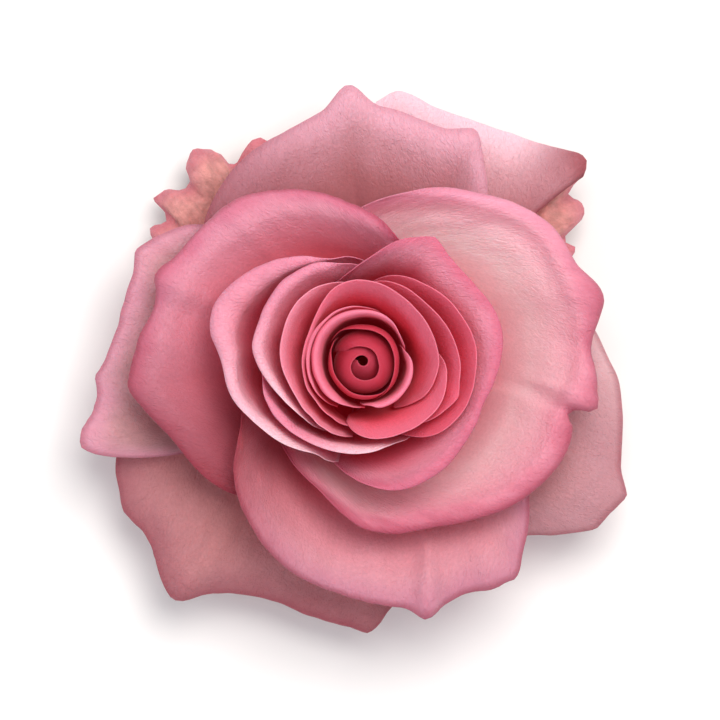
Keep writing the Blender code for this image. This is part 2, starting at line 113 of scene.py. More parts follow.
def new_material(name: str, **shader: object) -> tuple[bpy.types.Material, bpy.types.Node]:
    """Start a material.

    Args:
        name: Its name.
        **shader: Values of the Principled shader, with underscores for the spaces of socket names.

    Returns:
        The material and its Principled node.
    """
    material = bpy.data.materials.new(name)
    material.use_nodes = True
    principled = material.node_tree.nodes["Principled BSDF"]
    for socket, value in shader.items():
        principled.inputs[socket.replace("_", " ")].default_value = value
    return material, principled


# Sockets whose names repeat on one node go by number: those of Map Range, and those of a colour Mix
VALUE, FROM_MIN, FROM_MAX, TO_MIN, TO_MAX = range(5)
FACTOR, COLOUR_A, COLOUR_B = 0, 6, 7
MIXED = 2

# The grazing light on the velvet, and the colour of the painted glow that stands in for the red light
# soaked through the petals
VELVET_TINT = "FFD9E4"
PAINTED_GLOW_COLOUR = "FF2040"

# How far blotches shift the petal's colours along it, as a share of its length
DRIFT = 0.10

# The rim's colour goes round the side edges too, between these distances from the petal's middle line,
# as shares of its width
SIDE_RIM = (0.475, 0.5)

# Places along the petal where the dry line begins and where it is full
DRY_LINE = (0.965, 0.99)

# Wrinkles grow from this share of their depth, at the first place along the petal, to all of it at the
# second
WRINKLES_LEAST = 0.15
WRINKLES_GROW = (0.55, 0.92)


@dataclass(frozen=True)
class PetalTissue:
    """Living rose petal: a thin, wet sheet under a velvet of tiny cone-shaped cells.

    Light sinks in and comes out again near by, which keeps shaded petals warm, and a painted glow adds
    red light in the crevices. The velvet scatters light at a glance, so there is no sharp highlight.
    Pigment is stronger deep in the flower, partly as painted shade, and along the rim.
    """

    name: str
    claw: str
    belly: str
    blade: str
    lip: str
    edge: str
    reverse: str
    vein_depth: float = 0.03
    glow: float = 0.6
    blush: float = 0.75
    blush_starts: float = 0.84

    # Strength of the painted glow: an emission that stands in for the red light that soaks through the
    # petals into the crevices
    painted_glow: float = 0.0

    # Share of another colour near the first side edge (positive) or the last one (negative): painted shade
    # where the colour is dark, a painted highlight where it is pale. The rim there has that colour in full
    side_shade_and_light: float = 0.0
    side_shade_and_light_colour: str = "A83848"
    side_shade_and_light_fades: tuple = (0.1, 0.65)

    # Depth of the dry dark line along the very rim
    dryness: float = 0.0
    dry_colour: str = "8C2C40"
    crinkle: float = 0.10
    mottle: float = 0.08

    # How many times the veins' pattern changes in a millimetre along the petal
    vein_changes: float = 0.055

    # Real sizes in millimetres. The velvet's cells are 0.03 mm wide, and are drawn coarser to show
    vein_spacing: float = 1.1
    velvet_grain: float = 0.30
    blotch_size: float = 7.0
    crinkle_spacing: float = 0.75
    crinkle_length: float = 1.1
    mottle_size: float = 0.7
    velvet_depth: float = 0.05

    def materials(self) -> tuple[bpy.types.Material, bpy.types.Material]:
        """Make the tissue's reverse and face materials, in the order of a petal's slots."""
        return self._make(self.name + "_reverse", True), self._make(self.name + "_face", False)

    def _make(self, name: str, is_reverse: bool) -> bpy.types.Material:
        """Make one side's material.

        Args:
            name: Name of the material.
            is_reverse: Whether it is for the paler side that faces outwards in the bud.

        Returns:
            The material.
        """
        # The emission is a painted glow, standing in for red light soaked through the petals into the
        # crevices
        material, principled = new_material(
            name, Roughness=0.55, IOR=1.40, Specular_IOR_Level=0.22, Sheen_Weight=0.08,
            Sheen_Roughness=0.45, Sheen_Tint=linear_colour(VELVET_TINT), Subsurface_Weight=0.35,
            Subsurface_Radius=(1.0, 0.35, 0.30), Subsurface_Scale=self.glow * MM,
            Emission_Color=linear_colour(PAINTED_GLOW_COLOUR), Emission_Strength=self.painted_glow)
        tree = material.node_tree
        share = add_node(tree, "ShaderNodeUVMap", uv_map="share")
        place = add_node(tree, "ShaderNodeSeparateXYZ", {0: share.outputs[0]})
        across, along = place.outputs[0], place.outputs[1]
        length = add_node(tree, "ShaderNodeUVMap", uv_map="length").outputs[0]

        blotch = add_node(tree, "ShaderNodeTexNoise",
                          {"Vector": length, "Scale": 1 / self.blotch_size, "Detail": 3.0})
        drift = add_node(tree, "ShaderNodeMath", {0: blotch.outputs[0], 1: DRIFT, 2: -DRIFT / 2},
                         operation="MULTIPLY_ADD")
        drifted = add_node(tree, "ShaderNodeMath", {0: along, 1: drift.outputs[0]}, operation="ADD")
        stretched = add_node(tree, "ShaderNodeMapping",
                             {"Vector": length,
                              "Scale": (1 / self.vein_spacing, self.vein_changes, 1.0)})
        vein = add_node(tree, "ShaderNodeTexNoise",
                        {"Vector": stretched.outputs[0], "Scale": 1.0, "Detail": 2.5, "Distortion": 0.25})

        plain = self._plain_colour(tree, drifted.outputs[0], length, vein.outputs[0], is_reverse)
        side_painted, edge = self._paint_side_shade_and_light(tree, across, plain)
        coloured = self._rim(tree, across, along, drifted.outputs[0], side_painted, edge)
        tree.links.new(coloured, principled.inputs["Base Color"])
        relief = self._relief(tree, along, length, vein.outputs[0])
        tree.links.new(relief, principled.inputs["Normal"])
        return material

    def _plain_colour(self, tree: bpy.types.NodeTree, along: Socket, length: Socket, vein: Socket,
                      is_reverse: bool) -> Socket:
        """Colour the sheet from claw to lip, with its veins and the mottle of its cells.

        Args:
            tree: The material's nodes.
            along: Place from claw to rim, shifted by the blotches.
            length: Place in millimetres.
            vein: Pattern of the veins.
            is_reverse: Whether it is the side that faces outwards in the bud.

        Returns:
            The colour.
        """
        blade = self.reverse if is_reverse else self.blade
        lip = self.reverse if is_reverse else self.lip
        pigment = add_node(tree, "ShaderNodeValToRGB", {0: along},
                           stops=((0.04, self.claw), (0.30, self.belly), (0.66, blade), (0.93, lip)))
        veined = add_node(tree, "ShaderNodeMapRange",
                          {VALUE: vein, FROM_MIN: 0.35, FROM_MAX: 0.65,
                           TO_MIN: 1.0 - self.vein_depth, TO_MAX: 1.0},
                          interpolation_type="SMOOTHSTEP")
        cells = add_node(tree, "ShaderNodeTexNoise",
                         {"Vector": length, "Scale": 1 / self.mottle_size, "Detail": 4.0,
                          "Roughness": 0.65})
        mottled = add_node(tree, "ShaderNodeMapRange",
                           {VALUE: cells.outputs[0], FROM_MIN: 0.3, FROM_MAX: 0.7,
                            TO_MIN: 1.0 - self.mottle, TO_MAX: 1.0 + self.mottle})
        shade = add_node(tree, "ShaderNodeMath", {0: veined.outputs[0], 1: mottled.outputs[0]},
                         operation="MULTIPLY")
        shaded = add_node(tree, "ShaderNodeMix",
                          {FACTOR: 1.0, COLOUR_A: pigment.outputs[0], COLOUR_B: shade.outputs[0]},
                          data_type="RGBA", blend_type="MULTIPLY")
        return shaded.outputs[MIXED]

    def _paint_side_shade_and_light(self, tree: bpy.types.NodeTree, across: Socket, plain: Socket) -> tuple[Socket, Socket]:
        """Lay one side's painted colour over the face and over the rim's colour: painted shade where that
        colour is dark, a painted highlight where it is pale.

        Args:
            tree: The material's nodes.
            across: Place between the side edges.
            plain: Colour of the sheet without the painted side colour.

        Returns:
            Colours of the face and of the rim.
        """
        near, far = self.side_shade_and_light_fades if self.side_shade_and_light > 0 else (1 - fade for fade in self.side_shade_and_light_fades)
        # How much of the side's painted shade, or painted highlight where its colour is pale, lies at each
        # place across
        side_painted = add_node(tree, "ShaderNodeMapRange",
                           {VALUE: across, FROM_MIN: near, FROM_MAX: far,
                            TO_MIN: float(self.side_shade_and_light != 0), TO_MAX: 0.0},
                           interpolation_type="SMOOTHSTEP")
        tint = add_node(tree, "ShaderNodeMath", {0: side_painted.outputs[0], 1: abs(self.side_shade_and_light)},
                        operation="MULTIPLY")
        face = add_node(tree, "ShaderNodeMix",
                        {FACTOR: tint.outputs[0], COLOUR_A: plain,
                         COLOUR_B: linear_colour(self.side_shade_and_light_colour)}, data_type="RGBA")
        edge = add_node(tree, "ShaderNodeMix",
                        {FACTOR: side_painted.outputs[0], COLOUR_A: linear_colour(self.edge),
                         COLOUR_B: linear_colour(self.side_shade_and_light_colour)}, data_type="RGBA")
        return face.outputs[MIXED], edge.outputs[MIXED]

    def _rim(self, tree: bpy.types.NodeTree, across: Socket, along: Socket, drifted: Socket,
             face: Socket, edge: Socket) -> Socket:
        """Lay the blush of the rim and its dry line over the face.

        Args:
            tree: The material's nodes.
            across: Place between the side edges.
            along: Place from claw to rim.
            drifted: The same place, shifted by the blotches.
            face: Colour of the face.
            edge: Colour of the rim.

        Returns:
            The colour.
        """
        offset = add_node(tree, "ShaderNodeMath", {0: across, 1: 0.5}, operation="SUBTRACT")
        aside = add_node(tree, "ShaderNodeMath", {0: offset.outputs[0]}, operation="ABSOLUTE")
        side = add_node(tree, "ShaderNodeMapRange",
                        {VALUE: aside.outputs[0], FROM_MIN: SIDE_RIM[0], FROM_MAX: SIDE_RIM[1]})
        end = add_node(tree, "ShaderNodeMapRange",
                       {VALUE: drifted, FROM_MIN: self.blush_starts, FROM_MAX: 1.0},
                       interpolation_type="SMOOTHSTEP")
        rim = add_node(tree, "ShaderNodeMath", {0: side.outputs[0], 1: end.outputs[0]},
                       operation="MAXIMUM")
        depth = add_node(tree, "ShaderNodeMath", {0: rim.outputs[0], 1: self.blush},
                         operation="MULTIPLY")
        blushed = add_node(tree, "ShaderNodeMix",
                           {FACTOR: depth.outputs[0], COLOUR_A: face, COLOUR_B: edge},
                           data_type="RGBA")
        dry = add_node(tree, "ShaderNodeMapRange",
                       {VALUE: along, FROM_MIN: DRY_LINE[0], FROM_MAX: DRY_LINE[1],
                        TO_MIN: 0.0, TO_MAX: self.dryness})
        dried = add_node(tree, "ShaderNodeMix",
                         {FACTOR: dry.outputs[0], COLOUR_A: blushed.outputs[MIXED],
                          COLOUR_B: linear_colour(self.dry_colour)}, data_type="RGBA")
        return dried.outputs[MIXED]

    def _relief(self, tree: bpy.types.NodeTree, along: Socket, length: Socket,
                vein: Socket) -> Socket:
        """Raise the velvet, the veins, and the fine wrinkles that deepen towards the lip.

        Args:
            tree: The material's nodes.
            along: Place from claw to rim.
            length: Place in millimetres.
            vein: Pattern of the veins.

        Returns:
            The surface's normal.
        """
        velvet = add_node(tree, "ShaderNodeTexNoise",
                          {"Vector": length, "Scale": 1 / self.velvet_grain, "Detail": 2.0})
        folded = add_node(tree, "ShaderNodeMapping",
                          {"Vector": length,
                           "Scale": (1 / self.crinkle_spacing, 1 / self.crinkle_length, 1.0)})
        pleat = add_node(tree, "ShaderNodeTexNoise",
                         {"Vector": folded.outputs[0], "Scale": 1.0, "Detail": 3.0, "Distortion": 1.2})
        on_lip = add_node(tree, "ShaderNodeMapRange",
                          {VALUE: along, FROM_MIN: WRINKLES_GROW[0], FROM_MAX: WRINKLES_GROW[1],
                           TO_MIN: WRINKLES_LEAST, TO_MAX: 1.0})
        wrinkle = add_node(tree, "ShaderNodeMath", {0: pleat.outputs[0], 1: on_lip.outputs[0]},
                           operation="MULTIPLY")
        soft = add_node(tree, "ShaderNodeBump",
                        {"Height": velvet.outputs[0], "Strength": 0.35,
                         "Distance": self.velvet_depth * MM})
        ribbed = add_node(tree, "ShaderNodeBump",
                          {"Height": vein, "Strength": 0.4, "Distance": self.velvet_depth * MM,
                           "Normal": soft.outputs[0]})
        wrinkled = add_node(tree, "ShaderNodeBump",
                            {"Height": wrinkle.outputs[0], "Strength": 0.8,
                             "Distance": self.crinkle * MM, "Normal": ribbed.outputs[0]})
        return wrinkled.outputs[0]


# The heart's deep reds are partly the petals' own colour and partly painted shade of the deep centre,
# darkest on the reverse
HEART_TISSUE = PetalTissue("heart_red", claw="B01028", belly="A01024", blade="941628", lip="A0263A",
                           edge="C8465C", reverse="901226", crinkle=0.06, glow=2.0, painted_glow=0.024)
BUD_TISSUE = PetalTissue("bud_rose", claw="E01C38", belly="D02840", blade="E0405C", lip="E8748C",
                         edge="E8809A", reverse="E8748E", crinkle=0.10, glow=1.4, painted_glow=0.03)
RING_TISSUE = PetalTissue("ring_pink", claw="E82440", belly="EC3850", blade="EC5068", lip="E87088",
                          edge="E07088", reverse="F098AE", crinkle=0.28, glow=0.9, painted_glow=0.022)
# Lit and shaded copies of the ring tissue: the western one is paler as painted light that lifts the shade
# of the deep western crevices, and the eastern one is darker as painted shade
RING_WEST_PAINTED_LIGHT = replace(RING_TISSUE, name="ring_west_painted_light", blade="EC607A", lip="EC8CA2", edge="E88CA2")
RING_EAST_PAINTED_SHADE = replace(RING_TISSUE, name="ring_east_painted_shade", blade="CC3048", lip="D4485E", edge="DC6880")
CUP_TISSUE = PetalTissue("cup_pink", claw="E42E48", belly="F04C66", blade="E8667F", lip="DC98AC",
                         edge="C85A78", reverse="EBA2B6", crinkle=0.5, painted_glow=0.012)
# A copy of the cup tissue with paler lips and a pale last side: a painted highlight along lips that face
# the light
CUP_PAINTED_HIGHLIGHT = replace(CUP_TISSUE, name="cup_painted_highlight", lip="E8A4B6", edge="DC809C", blush_starts=0.80,
                    side_shade_and_light=-0.15, side_shade_and_light_colour="FFD0DC", side_shade_and_light_fades=(0.15, 0.65))
# The bowl tissues' dark side colours are painted shade on the side of each bowl petal that a neighbour
# overlaps
BOWL_TISSUE = PetalTissue("bowl_pink", claw="F05468", belly="FF7888", blade="DA8495", lip="D694A8",
                          edge="C8607E", reverse="DE92A6", crinkle=0.5, blush_starts=0.87,
                          side_shade_and_light=-0.85, side_shade_and_light_colour="94404C", side_shade_and_light_fades=(0.1, 0.55), dryness=0.5,
                          painted_glow=0.02)
BOWL_PALE = replace(BOWL_TISSUE, name="bowl_pale", belly="FFB8BE", blade="FFECEE", lip="F0A8BC",
                    edge="E89CB6", blush_starts=0.89, blush=0.9, side_shade_and_light=0.4, side_shade_and_light_colour="B4546C",
                    side_shade_and_light_fades=(0.58, 0.80), dryness=0.3)
BOWL_SOUTH = replace(BOWL_TISSUE, name="bowl_south", blade="D48A96", lip="CE94A2", edge="C07C94",
                     blush_starts=0.84, side_shade_and_light=0.7, side_shade_and_light_colour="9C444E", side_shade_and_light_fades=(0.1, 0.5))
# The outer tissues' browner, darker pinks are partly the petals' own tone and partly painted shade of the
# low outer petals. The west copy's dark belly is painted shade in its creases, and the pale north-east
# copy is partly painted light
OUTER_TISSUE = PetalTissue("outer_blush", claw="B8646C", belly="B06870", blade="B4767C", lip="CC98A6",
                           edge="E4ACC0", reverse="DCA0AA", crinkle=0.65, side_shade_and_light=-0.8,
                           side_shade_and_light_colour="9A5C66", side_shade_and_light_fades=(0.1, 0.6), dryness=0.2,
                           painted_glow=0.012)
OUTER_WEST = replace(OUTER_TISSUE, name="outer_west", belly="6C343C", blade="B07C7E", lip="C2949A",
                     edge="E09CB4", side_shade_and_light=0.0, dryness=0.4)
OUTER_SOUTH = replace(OUTER_TISSUE, name="outer_south", belly="BC787C", blade="B87C7E", lip="B87E84",
                      edge="A05C66", side_shade_and_light=0.0, dryness=0.3)
OUTER_EAST = replace(OUTER_TISSUE, name="outer_east", belly="B07476", blade="B88488", lip="C0909A",
                     edge="BC8890", side_shade_and_light=-0.7, side_shade_and_light_colour="E8C4CA", side_shade_and_light_fades=(0.1, 0.5),
                     dryness=0.4)
OUTER_PALE = replace(OUTER_TISSUE, name="outer_pale", belly="AC6C72", blade="C08C94", lip="E2B6C2",
                     edge="F2CCDA", blush=0.95, blush_starts=0.82, side_shade_and_light=0.5, side_shade_and_light_colour="985058",
                     side_shade_and_light_fades=(0.02, 0.3), dryness=0.0)
GUARD_TISSUE = PetalTissue("guard_salmon", claw="B86860", belly="B46C68", blade="C4847C", lip="DA9C98",
                           edge="C8667A", reverse="C88878", crinkle=0.5, vein_depth=0.10, mottle=0.25,
                           mottle_size=2.4)


@dataclass(frozen=True)
class PlantSkin:
    """Skin of a sepal, the hip or an organ of the eye: living leaf tissue, waxy and finely pored.

    A little light sinks in, and a thin sheen stands for its bloom of fine hair.
    """

    name: str
    dark: str
    light: str

    # Real sizes in millimetres: width of the blotches, spacing of the pores and their depth
    grain: float
    pore_spacing: float = 0.4
    pore_depth: float = 0.08

    def material(self) -> bpy.types.Material:
        """Make the skin's material.

        Returns:
            The material.
        """
        material, principled = new_material(
            self.name, Roughness=0.48, IOR=1.42, Specular_IOR_Level=0.4, Sheen_Weight=0.15,
            Sheen_Roughness=0.5, Subsurface_Weight=0.25, Subsurface_Radius=(0.5, 0.8, 0.25),
            Subsurface_Scale=0.8 * MM)
        tree = material.node_tree
        coordinates = add_node(tree, "ShaderNodeTexCoord")
        blotch = add_node(tree, "ShaderNodeTexNoise",
                          {"Vector": coordinates.outputs["Object"], "Scale": 1 / (self.grain * MM),
                           "Detail": 5.0})
        colour = add_node(tree, "ShaderNodeValToRGB", {0: blotch.outputs[0]},
                          stops=((0.35, self.dark), (0.65, self.light)))
        tree.links.new(colour.outputs[0], principled.inputs["Base Color"])
        pores = add_node(tree, "ShaderNodeTexNoise",
                         {"Vector": coordinates.outputs["Object"], "Scale": 1 / (self.pore_spacing * MM),
                          "Detail": 3.0})
        bump = add_node(tree, "ShaderNodeBump",
                        {"Height": pores.outputs[0], "Strength": 0.4,
                         "Distance": self.pore_depth * MM})
        tree.links.new(bump.outputs[0], principled.inputs["Normal"])
        return material


SEPAL_SKIN = PlantSkin("sepal_green", dark="6F8F4C", light="8FAF64", grain=1.4)
HIP_SKIN = PlantSkin("hip_green", dark="789650", light="92AE62", grain=1.0)
STYLE_SKIN = PlantSkin("style_cream", dark="C9A95C", light="E8D49A", grain=0.5)
STAMEN_SKIN = PlantSkin("stamen_yellow", dark="C98A1C", light="F0C24A", grain=0.4)


class Whorl(Enum):
    """Kinds of petals, from the heart outwards, with each kind's slope at the rim, slot and tissue."""

    HEART = (88, "heart_red", HEART_TISSUE)
    CORE = (88, "heart_red", HEART_TISSUE)
    BUD = (-60, "bud_rose", BUD_TISSUE)
    RING = (40, "ring_pink", RING_TISSUE)
    CUP = (-95, "cup_pink", CUP_TISSUE)
    BOWL = (-150, "bowl_pink", BOWL_TISSUE)
    OUTER = (-28, "outer_blush", OUTER_TISSUE)
    GUARD = (-60, "guard_salmon", GUARD_TISSUE)

    def __init__(self, rim_slope: float, slot: str, tissue: PetalTissue) -> None:
        """Keep what the kind's petals share.

        Args:
            rim_slope: Slope at the rim, in degrees.
            slot: Material slot of the CAD nodes.
            tissue: Finish of the petals that name none of their own.
        """
        self.rim_slope = rim_slope
        self.slot = slot
        self.tissue = tissue


@dataclass(frozen=True)
class Tip:
    """A point of the rim: its azimuth, how far it reaches out, and its half width in degrees."""

    azimuth: float
    reach: float
    half_width: float


@dataclass(frozen=True)
class Fold:
    """A crease that runs in from the rim. A positive rise lifts the petal's face along it."""

    azimuth: float
    rise: float
    half_width: float
    starts: float = 0.6
    slant: float = 0.0


def smooth_curve(x: Array, knots: Array, values: Array) -> Array:
    """Read a monotone cubic.

    Args:
        x: Where it is read.
        knots: Places of its points, rising.
        values: Values at its points.

    Returns:
        Its values at x, level beyond the first and last points.
    """
    step = np.diff(knots)
    rise = np.diff(values) / step
    slope = np.concatenate(([rise[0]], 0.5 * (rise[1:] + rise[:-1]), [rise[-1]]))
    slope[1:-1][rise[1:] * rise[:-1] <= 0] = 0.0
    limit = 3 * np.minimum(np.abs(rise[1:]), np.abs(rise[:-1]))
    slope[1:-1] = np.clip(slope[1:-1], -limit, limit)
    x = np.clip(x, knots[0], knots[-1])
    i = np.clip(np.searchsorted(knots, x, side="right") - 1, 0, len(step) - 1)
    h = step[i]
    t = (x - knots[i]) / h
    return ((1 + 2 * t) * (1 - t) ** 2 * values[i] + t * (1 - t) ** 2 * h * slope[i]
            + t * t * (3 - 2 * t) * values[i + 1] + t * t * (t - 1) * h * slope[i + 1])


NOISE_CELLS = 64


def smooth_noise(x: Array, y: Array, seed: int) -> Array:
    """Read seeded value noise whose cells are one unit wide.

    Args:
        x: Where it is read, one way.
        y: And the other way.
        seed: Which noise.

    Returns:
        Values between -1 and 1.
    """
    lattice = np.random.default_rng(seed).uniform(-1, 1, (NOISE_CELLS, NOISE_CELLS))
    i, j = np.floor(x).astype(int), np.floor(y).astype(int)
    fx, fy = x - i, y - j
    fx, fy = fx * fx * (3 - 2 * fx), fy * fy * (3 - 2 * fy)
    near = lattice[i % NOISE_CELLS, j % NOISE_CELLS], lattice[(i + 1) % NOISE_CELLS, j % NOISE_CELLS]
    far = (lattice[i % NOISE_CELLS, (j + 1) % NOISE_CELLS],
           lattice[(i + 1) % NOISE_CELLS, (j + 1) % NOISE_CELLS])
    return (near[0] * (1 - fx) + near[1] * fx) * (1 - fy) + (far[0] * (1 - fx) + far[1] * fx) * fy


def read_rows(azimuth: Array, rows: tuple) -> Array:
    """Read straight between rows of (azimuth, value)."""
    return np.interp(azimuth, *zip(*rows))


# Claws stand on the hip's sloping shoulder, the innermost highest
CLAW_RADIUS_FIRST = 4.3
CLAW_RADIUS_STEP = 0.2
CLAW_HEIGHT_FIRST = 13.4
CLAW_HEIGHT_STEP = 0.16
CLAW_HALF_ANGLE = 24.0
CLAW_WIDENS_BY = 0.62
CLAW_TAPER = 1.4

CORNER_SHARPNESS = 6

# Where the gutter runs along the petal, and its half width, as shares of the petal's length
GUTTER_PLACE = 0.84
GUTTER_HALF_WIDTH = 0.055

# A tip's form, and how far its rim turns to its own slope, in degrees above level
TIP_SHARPNESS = 1.3
TIP_SLOPE = -40
TIP_TURN = 0.5

# Share of the lip that makes the first half of its turn, and where the face starts to lean out
LIP_FIRST_PART = 0.65
LEAN_STARTS = 0.70

# A petal that closes over the heart bends inwards through this angle, in radians, on a round arc
CLOSING_ANGLE = math.radians(65)
MERIDIAN_STEPS = 90

# Rows are (reach over rise, slope at the claw, slope half way up, slope where the petal starts to
# turn out), in degrees above level
HABIT = np.array((
    (0.05, 55, 86, 89),
    (0.15, 44, 83, 88),
    (0.35, 30, 76, 86),
    (0.70, 14, 62, 74),
    (1.40, 5, 46, 28),
    (3.00, 0, 30, 6),
    (5.00, -3, 21, 2),
    (9.00, -8, 12, 2),
), float)


def meridian(aspect: Array, share: Array, lean: Array, rim_slope: Array,
             along: Array) -> tuple[Array, Array]:
    """Trace petals from claw to rim by their slope.

    Args:
        aspect: Reach over rise of each point's petal line.
        share: Share of the line that turns out as a lip.
        lean: How far the line leans out by the start of its lip, in degrees.
        rim_slope: Slope at the rim, in degrees.
        along: Place on the line, from 0 at the claw to 1 at the rim.

    Returns:
        Reach and rise, both 0 at the claw and 1 where the whole line is widest and highest.
    """
    claw, belly, upright = (np.interp(aspect, HABIT[:, 0], HABIT[:, k]) for k in (1, 2, 3))
    s = (np.arange(MERIDIAN_STEPS) + 0.5)[:, None] / MERIDIAN_STEPS
    lip_middle = 1 - (1 - LIP_FIRST_PART) * share
    knots = (np.zeros_like(share), 0.5 * (1 - share), LEAN_STARTS * (1 - share), 1 - share,
             lip_middle, np.ones_like(share))
    half_open = belly + (upright - belly) * (2 * LEAN_STARTS - 1)
    opened = upright - lean
    angles = (claw, belly, half_open, opened, opened + 0.5 * (rim_slope - opened), rim_slope)
    angle = np.repeat(angles[0][None, :], MERIDIAN_STEPS, axis=0)
    for a, b, start, end in zip(knots[:-1], knots[1:], angles[:-1], angles[1:]):
        angle = angle + np.clip((s - a) / (b - a), 0, 1) * (end - start)
    angle = np.radians(angle)
    lines = []
    place = along * MERIDIAN_STEPS
    i = np.clip(place.astype(int), 0, MERIDIAN_STEPS - 1)
    part = place - i
    column = np.arange(share.size)
    for run in (np.cos(angle), np.sin(angle)):
        line = np.vstack((np.zeros((1, share.size)), np.cumsum(run, axis=0)))
        lines.append(((1 - part) * line[i, column] + part * line[i + 1, column]) / line.max(axis=0))
    return lines[0], lines[1]


# Share of a rim's ripple that goes in and out, and the lengths of its waves in and out and up and down
RIPPLE_IN_PLAN = 0.35
PLAN_WAVE = 3.1
HEIGHT_WAVE = 5.3

# Sizes in millimetres, across and along, of the sheet's broad and fine unevenness
BROAD_CRUMPLE = (6.5, 9.0)
FINE_CRUMPLE = (2.4, 4.0)
FINE_SHARE = 0.4
CRUMPLE_STARTS = 0.35
CRUMPLE_GROWS_BY = 0.5

# A gutter's depth wanders by this share over so many degrees
GUTTER_WANDER = 0.5
GUTTER_WAVE = 14
GUTTER_SEED = 90
SEEDS_PER_PETAL = 7

# A petal's line is longer than its chord, and its cells are smaller towards the rim
LINE_PER_CHORD = 1.15
RIM_CROWDING = 1.25
FEWEST_CELLS = 40
MOST_COLUMNS = 210
MOST_ROWS = 84


@dataclass
class Petal:
    """One petal: `rim` rows are (azimuth, radius, height, share of the length that turns out)."""

    name: str
    whorl: Whorl
    rim: tuple
    claw: float
    tips: tuple[Tip, ...] = ()
    folds: tuple[Fold, ...] = ()
    ripple: float = 0.28
    crumple: float = 0.18
    order: int = 0

    # Rows of (azimuth, degrees): how far the face leans out, and the slope at the rim
    lean: tuple = ((0, 0),)
    rim_slopes: tuple = ()

    # Rows of (azimuth, millimetres): how far the rim bends in over the heart
    closes: tuple = ((0, 0),)

    # Side edges are cut back by this share of the petal's length, to round its corners
    corner_cut: float = 0.22

    # Rows of (azimuth, millimetres): depth of the hollow that runs just inside a rolled rim
    gutter: tuple = ((0, 0),)
    tissue: PetalTissue | None = None

    # A cell of the sheet and its thickness at the claw, in millimetres, and the share of that thickness
    # that the rim lacks
    cell: float = 0.85
    thickness: float = 0.42
    rim_thinness: float = 0.55

    @property
    def seed(self) -> int:
        """First of the petal's own noises."""
        return SEEDS_PER_PETAL * self.order + 1

    def _rim_at(self, azimuth: Array) -> tuple[Array, Array, Array, Array]:
        """Read the rim, with its points and its ripple.

        Args:
            azimuth: Where it is read.

        Returns:
            Its radius, height, share that turns out, and slope.
        """
        azimuths, *columns = (np.array(column, float) for column in zip(*self.rim))
        radius, height, share = (smooth_curve(azimuth, azimuths, column) for column in columns)
        slope = read_rows(azimuth, self.rim_slopes or ((0, self.whorl.rim_slope),))
        for tip in self.tips:
            point = np.clip(1 - np.abs(azimuth - tip.azimuth) / tip.half_width, 0, 1) ** TIP_SHARPNESS
            radius = radius + tip.reach * point
            slope = slope + point * TIP_TURN * (TIP_SLOPE - slope)
        arc = np.radians(azimuth) * radius
        radius = radius + RIPPLE_IN_PLAN * self.ripple * smooth_noise(arc / PLAN_WAVE, 0 * arc, self.seed)
        height = height + self.ripple * smooth_noise(arc / HEIGHT_WAVE, 0 * arc, self.seed + 1)
        return radius, height, share, slope

    def _plain_form(self, across: Array, along: Array) -> tuple[Array, Array]:
        """Place the points of the petal before it gets its folds and gutter.

        Args:
            across: Place between the side edges, from -1 to 1.
            along: Place from 0 at the claw to 1 at the rim.

        Returns:
            Points about the flower's axis, in millimetres, and their azimuths.
        """
        first, last = self.rim[0][0], self.rim[-1][0]
        middle, half_angle = 0.5 * (first + last), 0.5 * (last - first)
        along = along * (1 - self.corner_cut * np.abs(across) ** CORNER_SHARPNESS)
        widened = np.sin(0.5 * math.pi * np.clip(along / CLAW_WIDENS_BY, 0, 1)) ** CLAW_TAPER
        azimuth = (self.claw + (middle - self.claw) * widened
                   + across * (CLAW_HALF_ANGLE + (half_angle - CLAW_HALF_ANGLE) * widened))
        radius, height, share, rim_slope = self._rim_at(azimuth)
        claw_radius = CLAW_RADIUS_FIRST + CLAW_RADIUS_STEP * self.order
        claw_height = CLAW_HEIGHT_FIRST - CLAW_HEIGHT_STEP * self.order
        aspect = (radius - claw_radius) / (height - claw_height)
        reach, rise = meridian(aspect, share, read_rows(azimuth, self.lean), rim_slope, along)
        r = claw_radius + (radius - claw_radius) * reach
        z = claw_height + (height - claw_height) * rise

        bend_radius = read_rows(azimuth, self.closes) / (1 - math.cos(CLOSING_ANGLE))
        bent = np.clip((along - 1) * (height - claw_height) + bend_radius * CLOSING_ANGLE, 0, None)
        bend = bent / np.maximum(bend_radius, 1e-6)
        r = r - bend_radius * (1 - np.cos(bend))
        z = z - (bent - bend_radius * np.sin(bend))
        turn = np.radians(azimuth)
        return np.stack((r * np.cos(turn), r * np.sin(turn), z), axis=-1), azimuth

    def _lift(self, azimuth: Array, along: Array, lengths: tuple[Array, Array]) -> Array:
        """Work out how far the folds, the gutter and the crumpling raise the face.

        Args:
            azimuth: Azimuths of the points.
            along: Their places from claw to rim.
            lengths: Their places across and along, in millimetres.

        Returns:
            The lift of each point, in millimetres.
        """
        lift = np.zeros_like(azimuth)
        for fold in self.folds:
            offset = azimuth - fold.azimuth - fold.slant * (1 - along)
            grown = np.clip((along - fold.starts) / (1 - fold.starts), 0, 1)
            lift += fold.rise * np.exp(-(offset / fold.half_width) ** 2) * grown * grown * (3 - 2 * grown)
        hollow = np.exp(-((along - GUTTER_PLACE) / GUTTER_HALF_WIDTH) ** 2)
        wander = 1 + GUTTER_WANDER * smooth_noise(azimuth / GUTTER_WAVE, along, GUTTER_SEED)
        lift -= read_rows(azimuth, self.gutter) * hollow * wander
        across, up = lengths
        rough = smooth_noise(across / BROAD_CRUMPLE[0], up / BROAD_CRUMPLE[1], self.seed + 2)
        fine = smooth_noise(across / FINE_CRUMPLE[0], up / FINE_CRUMPLE[1], self.seed + 3)
        grown = np.clip((along - CRUMPLE_STARTS) / CRUMPLE_GROWS_BY, 0, 1)
        return lift + self.crumple * (rough + FINE_SHARE * fine) * grown

